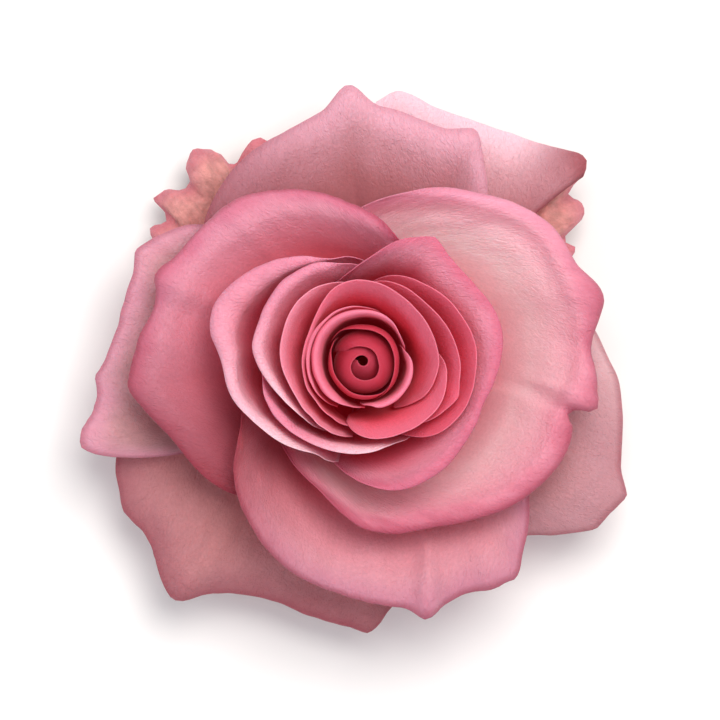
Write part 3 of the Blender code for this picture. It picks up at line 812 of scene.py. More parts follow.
    def _mesh(self, points: Array, along: Array, maps: dict[str, tuple[Array, Array]]) -> bpy.types.Object:
        """Make the petal's sheet from a grid.

        Args:
            points: Rows of places from claw to rim, in metres.
            along: Place of each row from claw to rim.
            maps: UV maps, as the two coordinates of each point.

        Returns:
            The sheet, with a vertex group that thins it towards its rim.
        """
        rows, columns = points.shape[0] - 1, points.shape[1] - 1
        bpy.ops.object.select_all(action="DESELECT")
        bpy.ops.mesh.primitive_grid_add(x_subdivisions=columns, y_subdivisions=rows, size=2)
        sheet = bpy.context.object
        sheet.name = sheet.data.name = self.name + "_blade"
        sheet.data.vertices.foreach_set("co", points.astype(np.float32).ravel())
        corners = np.empty(len(sheet.data.loops), int)
        sheet.data.loops.foreach_get("vertex_index", corners)
        sheet.data.uv_layers.remove(sheet.data.uv_layers[0])
        for title, (u, v) in maps.items():
            pairs = np.stack((u.ravel()[corners], v.ravel()[corners]), axis=-1)
            layer = sheet.data.uv_layers.new(name=title)
            layer.data.foreach_set("uv", pairs.astype(np.float32).ravel())
        thick = sheet.vertex_groups.new(name="thick")
        for row, place in enumerate(along):
            indices = range(row * (columns + 1), (row + 1) * (columns + 1))
            thick.add(list(indices), 1 - self.rim_thinness * float(place) ** 2, "REPLACE")
        return sheet

    def build(self, foot: Vector) -> bpy.types.Object:
        """Build the petal.

        Args:
            foot: Where the flower's axis meets the tables' zero height, in metres.

        Returns:
            The finished petal.
        """
        rim = np.array(self.rim, float)
        arc = np.radians(rim[-1, 0] - rim[0, 0]) * rim[:, 1].mean()
        chord = np.hypot(rim[:, 1].mean(), rim[:, 2].mean() - CLAW_HEIGHT_FIRST)
        columns = int(np.clip(arc / self.cell, FEWEST_CELLS, MOST_COLUMNS))
        rows = int(np.clip(chord * LINE_PER_CHORD / self.cell, FEWEST_CELLS, MOST_ROWS))
        steps = 1 - (1 - np.linspace(0, 1, rows + 1)) ** RIM_CROWDING
        across, along = np.meshgrid(np.linspace(-1, 1, columns + 1), steps)
        points, azimuth = self._plain_form(across.ravel(), along.ravel())
        points = points.reshape(rows + 1, columns + 1, 3)
        azimuth = azimuth.reshape(rows + 1, columns + 1)

        step_across = np.linalg.norm(np.diff(points, axis=1), axis=2)
        step_along = np.linalg.norm(np.diff(points, axis=0), axis=2)
        length_across = np.hstack((np.zeros((rows + 1, 1)), np.cumsum(step_across, axis=1)))
        length_across -= length_across[:, columns // 2:columns // 2 + 1]
        length_along = np.vstack((np.zeros((1, columns + 1)), np.cumsum(step_along, axis=0)))

        normal = np.cross(np.gradient(points, axis=1), np.gradient(points, axis=0))
        normal /= np.linalg.norm(normal, axis=2, keepdims=True) + 1e-9
        points -= normal * self._lift(azimuth, along, (length_across, length_along))[..., None]
        petal = self._mesh(points * MM + np.array(foot), steps,
                           {"share": (0.5 + 0.5 * across, along),
                            "length": (length_across, length_along)})
        for material in (self.tissue or self.whorl.tissue).materials():
            petal.data.materials.append(material)
        solid = petal.modifiers.new("thickness", "SOLIDIFY")
        solid.thickness = self.thickness * MM
        solid.offset = 0.0
        solid.vertex_group = "thick"
        solid.material_offset = 1
        bpy.ops.object.modifier_apply(modifier="thickness")
        bpy.ops.object.shade_smooth()
        petal.vertex_groups.clear()
        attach(petal, BODY)
        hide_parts(self.name)
        return petal


PETALS = (
    Petal("heart_petal", Whorl.HEART,
          ((-200, 4.6, 46.2, .04), (-100, 4.9, 46.3, .04), (0, 5.2, 46.5, .04), (90, 5.5, 46.7, .04),
           (160, 5.9, 46.9, .04), (240, 6.3, 46.9, .04), (310, 6.5, 47, .04), (360, 6.6, 47.4, .04),
           (450, 6.7, 47.3, .04), (485, 6.7, 46.6, .04), (520, 6.6, 43.5, .04)),
          claw=190, corner_cut=0.03, ripple=0.15,
          closes=((-200, 4.1), (-100, 4.2), (0, 4.3), (90, 4.1), (160, 4.0), (240, 2.8), (310, 2.4),
                  (360, 3.6), (450, 3.8), (520, 3.0))),
    Petal("core_petal_west", Whorl.CORE,
          ((135, 7.4, 45, .04), (180, 7.2, 45.6, .04), (220, 7.2, 45.6, .04), (270, 7.6, 45.6, .04),
           (300, 7.5, 45.2, .04), (325, 7.3, 44.6, .04)),
          claw=275, closes=((0, 0.8),)),
    Petal("core_petal_east", Whorl.CORE,
          ((-80, 8.1, 45, .04), (-40, 7.7, 45.6, .04), (0, 7.4, 45.8, .04), (40, 7.6, 45.8, .04),
           (90, 7.7, 45.8, .04), (120, 7.9, 45.6, .04), (150, 7.9, 45, .04)),
          claw=40, closes=((0, 1.0),)),
    Petal("bud_petal_east", Whorl.BUD,
          ((-95, 9.4, 47.5, .06), (-60, 10.2, 48.5, .08), (-25, 10.5, 48.5, .08), (0, 10.2, 48.5, .08),
           (14, 9.6, 48, .07), (26, 9.0, 47, .05)),
          claw=-30, lean=((0, 6),)),
    Petal("bud_petal_north", Whorl.BUD,
          ((12, 9.9, 48.2, .06), (30, 10.0, 48.6, .06), (45, 10.4, 48.9, .06), (60, 10.7, 49.1, .06),
           (80, 10.8, 49.2, .06), (100, 10.8, 49.2, .07), (120, 11.0, 49.2, .10), (150, 11.0, 49, .14),
           (180, 10.7, 48.8, .16), (200, 10.4, 48.8, .15), (230, 10.3, 48.6, .12), (272, 10.8, 48, .07)),
          claw=114, lean=((0, 6),)),
    Petal("bud_petal_west", Whorl.BUD,
          ((72, 12.0, 47.5, .04), (100, 12.0, 48.6, .04), (120, 12.1, 49.3, .04), (135, 12.0, 49.5, .03),
           (150, 12.0, 49.4, .03), (170, 11.8, 49, .03), (190, 11.7, 49, .03), (215, 11.7, 48.5, .03),
           (240, 11.7, 47.5, .03)),
          claw=184, lean=((0, 6),)),
    Petal("ring_petal_north", Whorl.RING,
          ((-56, 13.6, 43, .03), (-42, 14.8, 46.5, .07), (-22, 15.8, 49.2, .11), (0, 15.7, 50, .12),
           (20, 15.4, 50.5, .13), (40, 15.3, 51, .14), (60, 15.6, 51.5, .15), (80, 16.6, 51.5, .16),
           (100, 17.0, 51.5, .16), (112, 16.4, 51.5, .14), (122, 15.2, 51.5, .1), (132, 14.1, 51.5, .06),
           (142, 13.3, 51.5, .03), (155, 12.7, 51.5, .03), (180, 12.7, 51.5, .03), (200, 12.9, 51.5, .03),
           (225, 13.3, 51.2, .03), (242, 14.1, 51, .04), (262, 14.8, 50, .04)),
          claw=61, lean=((0, 38), (60, 40), (100, 34), (130, 12), (150, 4), (240, 4)),
          rim_slopes=((100, 35), (130, 10), (150, -30), (240, -30))),
    Petal("ring_petal_south", Whorl.RING,
          ((-106, 16.0, 49.5, .12), (-80, 16.1, 50.5, .14), (-55, 16.9, 50.5, .14),
           (-30, 17.9, 50.5, .14), (-12, 17.4, 50, .14), (2, 16.8, 48.5, .12), (12, 16.0, 46, .08),
           (20, 15.2, 43, .04)),
          claw=-55, lean=((0, 40),)),
    Petal("ring_petal_west", Whorl.RING,
          ((94, 19.0, 48.5, .06), (110, 18.7, 50, .07), (130, 18.5, 51, .08), (145, 18.3, 51, .08),
           (158, 17.7, 51, .08), (170, 17.3, 51, .07), (182, 16.7, 51, .06), (200, 15.8, 51, .04),
           (216, 15.5, 50.7, .03), (236, 16.1, 50.5, .03), (262, 17.6, 49.5, .04)),
          claw=232, lean=((94, 24), (160, 26), (230, 14)),
          rim_slopes=((94, 30), (150, 20), (200, 30), (262, 0)), tissue=RING_WEST_PAINTED_LIGHT),
    Petal("ring_petal_east", Whorl.RING,
          ((-55, 19.0, 48.5, .13), (-38, 19.6, 50, .13), (-20, 20.2, 50.5, .13), (-6, 20.0, 50.5, .13),
           (10, 19.3, 50.5, .13), (30, 18.3, 50.5, .13), (50, 17.7, 50.5, .13), (66, 17.8, 50.5, .13),
           (80, 18.4, 50, .13), (92, 19.2, 49, .10)),
          claw=0, tips=(Tip(-20, 0.8, 9),), lean=((0, 40),), tissue=RING_EAST_PAINTED_SHADE),
    Petal("ring_petal_far_east", Whorl.RING,
          ((-62, 21.2, 48, .10), (-40, 22.2, 49.5, .13), (-12, 23.3, 50, .13), (5, 23.3, 50, .13),
           (25, 22.3, 50, .13), (36, 21.8, 50, .13), (46, 21.1, 50, .13), (56, 20.5, 50, .13),
           (70, 20.2, 49.5, .13), (84, 20.9, 48.5, .10)),
          claw=68, lean=((0, 42),), tissue=RING_EAST_PAINTED_SHADE),
    Petal("cup_petal_south_west", Whorl.CUP,
          ((174, 22.6, 40, .03), (185, 22.2, 44, .04), (200, 21.7, 46, .05), (220, 21.0, 47, .08),
           (232, 20.2, 47.5, .09), (244, 19.6, 48, .09), (256, 19.2, 48, .10), (272, 18.9, 48, .10),
           (287, 19.0, 47.5, .08), (302, 19.7, 46.5, .04)),
          claw=275, rim_slopes=((200, -85), (222, 5), (287, 10)), tissue=CUP_PAINTED_HIGHLIGHT),
    Petal("cup_petal_north_west", Whorl.CUP,
          ((84, 22.6, 42, .03), (92, 21.9, 44, .03), (105, 22.0, 47, .06), (120, 22.9, 48.5, .09),
           (135, 23.5, 49, .11), (160, 23.2, 49, .11), (170, 23.1, 49, .1), (179, 21.9, 49, .08),
           (191, 20.0, 49, .07), (206, 18.3, 49, .06), (225, 17.7, 48.5, .05), (242, 17.9, 47.5, .03)),
          claw=130, lean=((100, 24), (160, 22), (200, 8)), rim_slopes=((180, -85), (206, 0), (242, 5)),
          tissue=CUP_PAINTED_HIGHLIGHT),
    Petal("cup_petal_east", Whorl.CUP,
          ((-106, 25.6, 42, .06), (-92, 27.0, 45, .07), (-76, 28.0, 47, .08), (-60, 27.5, 48, .08),
           (-45, 27.1, 48.5, .08), (-30, 26.4, 49, .06), (-20, 26.1, 49, .05), (-10, 27.1, 49, .07),
           (0, 28.2, 49, .09), (14, 29.1, 49, .13), (24, 28.9, 49, .15), (34, 28.0, 49, .17),
           (44, 27.7, 49.5, .18), (52, 28.3, 50, .18), (60, 28.8, 50.5, .17), (68, 28.0, 50.5, .14),
           (75, 26.4, 50.5, .1), (82, 24.2, 50.3, .07), (90, 22.2, 50, .05), (100, 20.7, 49.5, .04),
           (110, 20.0, 48.5, .03)),
          claw=-18, tips=(Tip(60, 0.9, 8),), lean=((-100, 16), (-40, 44), (30, 50), (70, 40), (100, 20)),
          rim_slopes=((-106, -90), (0, -40), (30, -15), (60, -10), (90, -30))),
    Petal("cup_petal_west", Whorl.CUP,
          ((87, 22.7, 42, .03), (94, 23.0, 44, .03), (104, 23.5, 46, .05), (112, 23.9, 46.8, .06),
           (120, 25.3, 47.5, .08), (130, 27.5, 48, .12), (140, 29.8, 48, .16), (150, 31.7, 48, .19),
           (160, 33.0, 47.5, .2), (168, 32.2, 47.5, .18), (175, 30.0, 47.5, .14), (182, 28.9, 47.5, .1),
           (195, 28.1, 47.5, .08), (205, 26.3, 47.5, .08), (215, 24.9, 47.5, .10), (230, 23.7, 47, .11),
           (245, 23.2, 46.5, .09), (256, 23.2, 44, .03)),
          claw=203, rim_slopes=((190, -85), (206, 5), (250, 10)), tissue=CUP_PAINTED_HIGHLIGHT),
    Petal("bowl_petal_west", Whorl.BOWL,
          ((62, 29.0, 39, .10), (72, 29.2, 43, .11), (84, 31.0, 43.5, .13), (95, 33.3, 43, .14),
           (106, 36.8, 42.5, .16), (120, 40.5, 42, .16), (132, 42.2, 41.5, .16), (142, 43.6, 41, .16),
           (151, 44.6, 41, .16), (158, 45.2, 41, .16), (166, 46.0, 41, .16), (178, 47.4, 40.5, .16),
           (186, 48.2, 39.5, .16), (193, 46.2, 38.5, .16), (201, 43.4, 37.5, .16), (212, 42.2, 35.5, .16),
           (226, 41.4, 33, .16), (240, 39.0, 30, .16)),
          claw=144, tips=(Tip(155, 0.5, 7), Tip(186, 1.0, 9)),
          folds=(Fold(157, 1.7, 3.4, 0.5, 8), Fold(166, -1.2, 5.0, 0.5), Fold(130, 1.2, 8.0, 0.55, 10)),
          crumple=0.2, lean=((62, 18), (110, 18), (150, 10), (200, 4)),
          rim_slopes=((60, -80), (150, -65), (186, -40), (240, -20))),
    Petal("bowl_petal_south", Whorl.BOWL,
          ((197, 29.6, 41, .08), (204, 30.6, 42, .08), (212, 32.4, 42, .10), (221, 36.2, 41.5, .11),
           (231, 39.8, 41, .13), (241, 43.0, 40.5, .14), (251, 46.2, 39, .16), (261, 48.5, 37.5, .16),
           (271, 50.0, 36.5, .16), (281, 52.2, 35.5, .16), (287, 53.3, 35, .16), (293, 52.8, 34.5, .16),
           (300, 53.5, 34, .16), (306, 54.0, 33.5, .16), (312, 51.6, 33, .16), (320, 48.0, 32, .16),
           (332, 44.0, 31, .16)),
          claw=272, tips=(Tip(305, 1.4, 5),),
          folds=(Fold(284, 3.6, 2.6, 0.42, 20), Fold(262, -1.2, 9.0, 0.5),
                 Fold(300, 1.4, 3.0, 0.6, 10)), crumple=0.3,
          rim_slopes=((200, -50), (240, -25), (330, -45)), tissue=BOWL_SOUTH),
    Petal("bowl_petal_east", Whorl.BOWL,
          ((-136, 26.6, 39, .03), (-122, 27.6, 42, .04), (-109, 29.6, 43.5, .06), (-98, 32.4, 43, .07),
           (-90, 34.8, 42.5, .08), (-80, 36.2, 42, .10), (-68, 37.0, 41.5, .11), (-58, 39.0, 41.5, .11),
           (-45, 42.6, 41.5, .11), (-32, 45.1, 41.5, .12), (-22, 45.9, 41.5, .12), (-14, 45.2, 41, .12),
           (-11.5, 46.0, 41.5, .12), (-9, 48.2, 41.8, .12), (-3, 48.8, 41.8, .12), (5, 48.6, 41.5, .12),
           (15, 49.3, 41.5, .12), (25, 48.6, 41.5, .12), (35, 48.2, 41, .11), (45, 45.8, 40.5, .10),
           (55, 42.6, 40, .08), (66, 40.0, 39, .07), (80, 36.8, 38, .06), (94, 34.4, 37, .06),
           (106, 32.6, 35, .06)),
          claw=-12, tips=(Tip(15, 1.4, 9),),
          folds=(Fold(-10, 2.2, 1.8, 0.55, 12), Fold(-14.5, -1.6, 1.8, 0.55, 14),
                 Fold(2, -1.4, 5.0, 0.6, 20), Fold(17, 1.2, 5.0, 0.6, 10)), crumple=0.2,
          rim_slopes=((-136, -40), (-60, -45), (0, -80), (40, -120), (106, -60)),
          gutter=((-60, 0), (0, 0.4), (60, 0.45), (100, 0.15)), tissue=BOWL_PALE),
    Petal("outer_petal_north", Whorl.OUTER,
          ((44, 41.5, 28.8, .13), (52, 45.5, 30.6, .13), (58, 49.4, 31.2, .13), (64, 52.0, 31, .14),
           (72, 51.8, 31, .14), (80, 52.6, 31, .14), (88, 54.0, 31, .14), (93, 54.6, 31, .14),
           (100, 52.8, 31, .14), (110, 50.6, 31, .14), (119, 49.6, 31, .14), (130, 47.4, 30.5, .14),
           (142, 45.0, 30, .13), (152, 42.0, 29, .13)),
          claw=95, tips=(Tip(64.5, 2.2, 6), Tip(93, 2.7, 6)),
          folds=(Fold(93, 1.4, 4.0, 0.6), Fold(65, 1.0, 4.0, 0.6)), crumple=0.25),
    Petal("outer_petal_west", Whorl.OUTER,
          ((130, 41.0, 21, .14), (138, 45.0, 22.5, .14), (147, 49.8, 25, .16), (154, 52.0, 27, .18),
           (161, 51.6, 28, .18), (170, 51.8, 28, .19), (178, 54.0, 27.5, .20), (184, 55.4, 27, .20),
           (190, 57.6, 26.5, .20), (196, 60.0, 26, .20), (201, 58.5, 25.5, .18), (207, 52.0, 25, .16)),
          claw=192, tips=(Tip(154, 1.3, 5), Tip(183, 1.2, 4), Tip(196.5, 2.6, 6)),
          folds=(Fold(196, 1.5, 5.0, 0.6), Fold(176, -0.9, 6.0, 0.6)), crumple=0.5, tissue=OUTER_WEST),
    Petal("outer_petal_south_west", Whorl.OUTER,
          ((188, 49.0, 15, .18), (196, 55.5, 17, .19), (203, 58.2, 19, .21), (212, 58.9, 21, .24),
           (220, 59.0, 22, .26), (226, 61.2, 22.5, .27), (231, 61.4, 23, .27), (236, 58.4, 23, .27),
           (243, 55.0, 23, .26), (251, 53.8, 23, .24), (260, 54.6, 22.5, .24), (267, 55.6, 22, .24),
           (273, 54.6, 21, .24), (281, 49.0, 18, .22), (292, 43.0, 14, .19)),
          claw=249, tips=(Tip(212, 0.8, 5), Tip(231, 2.0, 6), Tip(271, 1.8, 4)),
          folds=(Fold(231, 1.4, 5.0, 0.6), Fold(271, 1.0, 5.0, 0.65)), crumple=0.5, tissue=OUTER_SOUTH),
    Petal("outer_petal_north_east", Whorl.OUTER,
          ((40.6, 61.5, 22, .16), (42.5, 63.6, 22, .16), (46, 62.4, 22, .17), (50, 60.4, 21.5, .18),
           (56, 57.8, 21, .19), (64, 56.2, 20.5, .20), (74, 56.0, 20.5, .20), (82, 57.6, 20.5, .20),
           (87, 55.0, 20, .19), (99, 46.0, 18, .18)),
          claw=52, corner_cut=0.03,
          folds=(Fold(42.5, 1.6, 3.0, 0.6), Fold(52, -0.9, 5.0, 0.6), Fold(70, -0.8, 8.0, 0.6)),
          crumple=0.25, tissue=OUTER_PALE),
    Petal("outer_petal_east", Whorl.OUTER,
          ((-72, 42.0, 20, .16), (-60, 45.0, 21.5, .19), (-48, 49.0, 23.5, .24), (-41, 55.0, 25, .26),
           (-36, 58.8, 25.5, .27), (-31, 60.0, 25.5, .27), (-26, 59.6, 25.5, .27), (-18, 57.2, 25.5, .27),
           (-8, 54.6, 25, .27), (2, 51.4, 24.5, .26), (12, 48.0, 23.5, .24), (26, 43.0, 21, .22)),
          claw=-56, tips=(Tip(-35.5, 1.2, 4), Tip(-27, 2.0, 5)), folds=(Fold(-31, 1.0, 4.0, 0.65),),
          crumple=0.4, tissue=OUTER_EAST),
    Petal("guard_petal_north_west", Whorl.GUARD,
          ((106, 43.0, 16, .2), (112, 47.0, 17, .2), (116, 51.8, 17, .2), (120, 50.4, 17, .2),
           (124, 51.0, 17, .2), (126, 55.6, 17, .2), (129, 57.6, 17, .2), (132.5, 55.7, 17, .2),
           (135, 53.8, 16.5, .2), (139, 55.8, 16.5, .2), (142.5, 56.8, 16, .2), (144.5, 52.4, 16, .2),
           (147.5, 53.0, 15.5, .2), (151, 49.6, 15.5, .2), (160, 44.0, 14, .2)),
          claw=132,
          folds=(Fold(123, -1.6, 2.5, 0.6), Fold(135, -1.8, 3.0, 0.6), Fold(145, -1.2, 2.0, 0.65)),
          crumple=1.3, ripple=0.8),
    Petal("guard_petal_north_east", Whorl.GUARD,
          ((4, 42.0, 14, .2), (14, 45.0, 15, .2), (22, 46.5, 16, .2), (26, 48.0, 17, .2),
           (28.4, 50.8, 17, .2), (30.4, 50.4, 17, .2), (31.6, 51.2, 17.5, .2), (32.8, 54.4, 18, .2),
           (35, 56.4, 18, .2), (37.4, 57.0, 18, .2), (39, 56.8, 18, .2), (40.8, 60.4, 18, .2),
           (43, 60.8, 18, .2), (47, 54.0, 18, .2), (54, 46.0, 17, .2)),
          claw=-4,
          folds=(Fold(31, -1.0, 1.6, 0.6), Fold(35, 0.8, 2.0, 0.6), Fold(39, -0.7, 1.6, 0.5),
                 Fold(41.5, 1.0, 1.6, 0.6)), crumple=0.8, ripple=0.6),
)


@dataclass
class Corolla:
    """All the petals, from the heart outwards."""

    petals: tuple[Petal, ...] = PETALS

    def build(self, foot: Vector) -> list[bpy.types.Object]:
        """Build every petal. Each one's order sets how far out its claw stands.

        Args:
            foot: Where the flower's axis meets the tables' zero height, in metres.

        Returns:
            The petals.
        """
        blades = []
        for order, petal in enumerate(self.petals):
            petal.order = order
            blades.append(petal.build(foot))
        return blades


def spun_body(name: str, profile: tuple, steps: int, foot: Vector) -> bpy.types.Object:
    """Turn a profile round the flower's axis into one closed body.

    Args:
        name: Name of the piece.
        profile: (radius, height) in millimetres, both ends on the axis.
        steps: How many steps the turn takes.
        foot: Where the flower's axis meets the tables' zero height, in metres.

    Returns:
        The body.
    """
    bpy.ops.object.select_all(action="DESELECT")
    bpy.ops.mesh.primitive_circle_add(vertices=len(profile), radius=MM, fill_type="NOTHING")
    body = bpy.context.object
    body.name = body.data.name = name
    for vertex, (radius, height) in zip(body.data.vertices, profile):
        vertex.co = foot + Vector((radius * MM, 0.0, height * MM))
    ends = {0, len(profile) - 1}
    closing = next(edge.index for edge in body.data.edges if set(edge.vertices) == ends)
    bpy.ops.object.mode_set(mode="EDIT")
    bpy.ops.mesh.select_all(action="DESELECT")
    bpy.ops.object.mode_set(mode="OBJECT")
    body.data.edges[closing].select = True
    bpy.ops.object.mode_set(mode="EDIT")
    bpy.ops.mesh.select_mode(type="EDGE")
    bpy.ops.mesh.delete(type="EDGE_FACE")
    bpy.ops.mesh.select_all(action="SELECT")
    bpy.ops.mesh.spin(steps=steps, angle=math.tau, center=foot, axis=(0, 0, 1))
    bpy.ops.mesh.select_all(action="SELECT")
    bpy.ops.mesh.remove_doubles(threshold=0.01 * MM)
    bpy.ops.mesh.normals_make_consistent(inside=False)
    bpy.ops.object.mode_set(mode="OBJECT")
    return body


def rounded(profile: tuple, points: int) -> tuple:
    """Read a smooth line through a profile's points.

    Args:
        profile: (radius, height) in millimetres.
        points: How many points the line gets.

    Returns:
        The line's (radius, height) pairs.
    """
    knots = np.concatenate(([0], np.cumsum(np.hypot(*np.diff(np.array(profile), axis=0).T))))
    at = np.linspace(0, knots[-1], points)
    r, z = (smooth_curve(at, knots, np.array(line, float)) for line in zip(*profile))
    return tuple(zip(np.maximum(r, 0.0), z))


@dataclass
class Calyx:
    """The green back of the flower: five sepals, and the hip with its short cut stalk."""

    sepal_count: int = 5
    first_azimuth: float = 20.0
    spine: tuple = ((10.2, 7.6), (14.5, 6.8), (20.0, 5.0), (26.0, 3.5), (31.0, 3.0), (37.0, 2.9))
    half_widths: tuple = (4.2, 4.7, 4.5, 3.3, 1.7, 0.4)
    keel: float = 0.8
    sepal_thickness: float = 0.7
    columns: int = 28
    rows: int = 110

    # Teeth along the edges, as a share of the width, and ribs and unevenness in millimetres
    teeth: int = 9
    tooth_depth: float = 0.10
    ribs: int = 7
    rib_height: float = 0.12
    roughness: float = 0.18
    rough_size: tuple = (2.2, 3.0)
    first_seed: int = 200

    # A sepal's middle comes no lower than this, where its back lies on the floor
    lowest: float = 2.86
    hip_profile: tuple = ((0.0, 12.9), (4.0, 12.9), (9.3, 8.65), (9.6, 8.0), (9.4, 7.3), (8.3, 5.6),
                          (6.2, 4.4), (4.2, 3.8), (3.2, 3.4), (2.9, 2.8), (0.0, 2.8))
    hip_points: int = 60
    hip_steps: int = 72

    def build(self, foot: Vector) -> list[bpy.types.Object]:
        """Build the sepals and the hip about the flower's foot."""
        return [self.build_sepal(number, foot) for number in range(self.sepal_count)] + [
            self.build_hip(foot)]

    def build_sepal(self, number: int, foot: Vector) -> bpy.types.Object:
        """Build one sepal.

        Args:
            number: Which sepal, from 0.
            foot: Where the flower's axis meets the tables' zero height, in metres.

        Returns:
            The sepal, keeled, ribbed, and toothed along its edges.
        """
        across, along = np.meshgrid(np.linspace(-1, 1, self.columns + 1),
                                    np.linspace(0, 1, self.rows + 1))
        across, along = across.ravel(), along.ravel()
        spine = np.array(self.spine)
        station = np.linspace(0, 1, len(spine))
        r = smooth_curve(along, station, spine[:, 0])
        z = smooth_curve(along, station, spine[:, 1])
        half_width = smooth_curve(along, station, np.array(self.half_widths))
        tooth = np.abs(np.sin(along * self.teeth * math.pi + number)) ** 3 * (1 - along)
        half_width = half_width * (1 + self.tooth_depth * tooth * np.abs(across) ** 4)
        side = across * half_width
        z = z + self.keel * (1 - along) * np.abs(across)
        rib = np.cos(across * self.ribs * math.pi) * (1 - np.abs(across))
        z = z + self.rib_height * rib * np.clip(along * 4, 0, 1)
        rough = smooth_noise(side / self.rough_size[0], r / self.rough_size[1], self.first_seed + number)
        z = z + self.roughness * rough * np.clip(along * 3, 0, 1)
        turn = math.radians(self.first_azimuth + 360 * number / self.sepal_count)
        points = np.stack((r * math.cos(turn) - side * math.sin(turn),
                           r * math.sin(turn) + side * math.cos(turn),
                           np.maximum(z, self.lowest)), axis=-1)
        bpy.ops.object.select_all(action="DESELECT")
        bpy.ops.mesh.primitive_grid_add(x_subdivisions=self.columns, y_subdivisions=self.rows, size=2)
        sepal = bpy.context.object
        sepal.name = sepal.data.name = f"sepal_{number + 1}_blade"
        sepal.data.vertices.foreach_set("co", (points * MM + np.array(foot)).astype(np.float32).ravel())
        solid = sepal.modifiers.new("thickness", "SOLIDIFY")
        solid.thickness = self.sepal_thickness * MM
        solid.offset = 0.0
        bpy.ops.object.modifier_apply(modifier="thickness")
        bpy.ops.object.shade_smooth()
        sepal.data.materials.append(SEPAL_SKIN.material())
        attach(sepal, BODY)
        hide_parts(f"sepal_{number + 1}")
        return sepal

    def build_hip(self, foot: Vector) -> bpy.types.Object:
        """Build the hip and its stalk as one body.

        Args:
            foot: Where the flower's axis meets the tables' zero height, in metres.

        Returns:
            The hip.
        """
        hip = spun_body("hip_body", rounded(self.hip_profile, self.hip_points), self.hip_steps, foot)
        bpy.ops.object.shade_smooth_by_angle(angle=SMOOTH_ANGLE)
        hip.data.materials.append(HIP_SKIN.material())
        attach(hip, BODY)
        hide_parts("hip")
        return hip


@dataclass
class Eye:
    """What the heart petal hides: the styles with their knob of stigmas, and the ring of stamens."""

    styles_profile: tuple = ((0.0, 17.0), (0.9, 16.9), (1.25, 16.3), (1.1, 15.7), (0.8, 15.0),
                             (0.8, 13.2), (0.0, 13.2))
    points: int = 26
    steps: int = 24

    def build(self, foot: Vector) -> list[bpy.types.Object]:
        """Build the styles, and dress the stamens of the frame.

        Args:
            foot: Where the flower's axis meets the tables' zero height, in metres.

        Returns:
            The styles.
        """
        styles = spun_body("styles_column", rounded(self.styles_profile, self.points), self.steps, foot)
        bpy.ops.object.shade_smooth_by_angle(angle=SMOOTH_ANGLE)
        styles.data.materials.append(STYLE_SKIN.material())
        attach(styles, BODY)
        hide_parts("styles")
        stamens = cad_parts["stamens"]
        stamens.data.materials.clear()
        stamens.data.materials.append(STAMEN_SKIN.material())
        return [styles]


@dataclass(frozen=True)
class SoftBox:
    """A square soft light: its place and width in metres, its power in watts, and its colour."""

    name: str
    place: tuple
    width: float
    power: float
    colour: str

    def hang(self, target: Vector) -> None:
        """Hang the light.

        Args:
            target: Where it faces, in metres.
        """
        lamp = bpy.data.lights.new(self.name, "AREA")
        lamp.size = self.width
        lamp.energy = self.power
        lamp.color = linear_colour(self.colour)[:3]
        light = bpy.data.objects.new(self.name, lamp)
        light.location = self.place
        light.rotation_euler = (target - Vector(self.place)).to_track_quat("-Z", "Y").to_euler()
        bpy.context.scene.collection.objects.link(light)


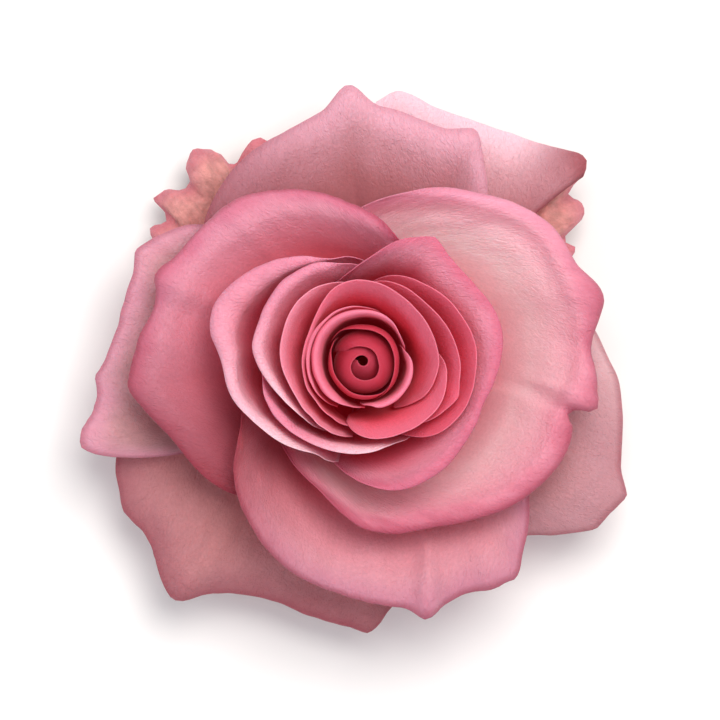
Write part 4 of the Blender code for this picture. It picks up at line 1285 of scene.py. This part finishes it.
@dataclass
class Studio:
    """Pale floor, a large soft light high in the north, a weak fill, and the camera overhead."""

    boxes: tuple[SoftBox, ...] = (SoftBox("key", (0.16, 0.30, 0.84), 0.50, 6.8, "FFF8F2"),
                                  SoftBox("fill", (-0.55, -0.25, 0.50), 0.70, 0.8, "F2F4FF"))
    target_height: float = 0.03
    sky: str = "F4F4F6"
    sky_strength: float = 0.66
    floor_width: float = 4.0
    camera_distance: float = 1.25
    field_width: float = 0.150
    field_centre: tuple = (1.46 * MM, 0.3 * MM)
    field_height: float = 30 * MM
    sensor: float = 36.0
    clip: tuple = (0.01, 20.0)

    def build(self) -> None:
        """Put up the world, the floor, the lights and the camera."""
        scene = bpy.context.scene
        scene.view_settings.view_transform = "Standard"
        world = bpy.data.worlds.new("studio")
        world.use_nodes = True
        background = world.node_tree.nodes["Background"]
        background.inputs["Color"].default_value = linear_colour(self.sky)
        background.inputs["Strength"].default_value = self.sky_strength
        scene.world = world
        self._floor()
        for box in self.boxes:
            box.hang(Vector((0, 0, self.target_height)))
        self._camera()

    def _floor(self) -> None:
        """Lay the pale floor that the flower rests on."""
        bpy.ops.object.select_all(action="DESELECT")
        bpy.ops.mesh.primitive_plane_add(size=self.floor_width, location=(0, 0, 0))
        floor = bpy.context.object
        floor.name = "floor"
        material, principled = new_material("pale_floor", Roughness=0.8)
        tree = material.node_tree
        coordinates = add_node(tree, "ShaderNodeTexCoord")
        cloud = add_node(tree, "ShaderNodeTexNoise",
                         {"Vector": coordinates.outputs["Object"], "Scale": 6.0, "Detail": 3.0})
        colour = add_node(tree, "ShaderNodeValToRGB", {0: cloud.outputs[0]},
                          stops=((0.3, "F3F3F3"), (0.7, "F7F7F7")))
        tree.links.new(colour.outputs[0], principled.inputs["Base Color"])
        floor.data.materials.append(material)

    def _camera(self) -> None:
        """Hang the camera straight above the flower, with north at the top of its frame."""
        camera = bpy.data.cameras.new("overhead")
        camera.sensor_width = self.sensor
        camera.lens = self.sensor * self.camera_distance / self.field_width
        camera.clip_start, camera.clip_end = self.clip
        holder = bpy.data.objects.new("overhead", camera)
        holder.location = (self.field_centre[0], self.field_centre[1],
                           self.field_height + self.camera_distance)
        bpy.context.scene.collection.objects.link(holder)
        bpy.context.scene.camera = holder


def flower_foot() -> Vector:
    """Find where the flower's axis meets the tables' zero height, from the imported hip.

    Returns:
        The place, in metres.
    """
    low, high = (Vector(corner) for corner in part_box("hip"))
    middle = 0.5 * (low + high)
    return Vector((middle.x, middle.y, high.z - HIP_TOP_HEIGHT * MM))


def main() -> None:
    """Build the flower and its studio, in order."""
    logging.basicConfig(level=logging.INFO, format="%(name)s: %(message)s")
    foot = flower_foot()
    for part in (Corolla(), Calyx(), Eye()):
        for piece in part.build(foot):
            LOG.info("%s: %d faces", piece.name, len(piece.data.polygons))
    Studio().build()


if __name__ == "__main__":
    main()
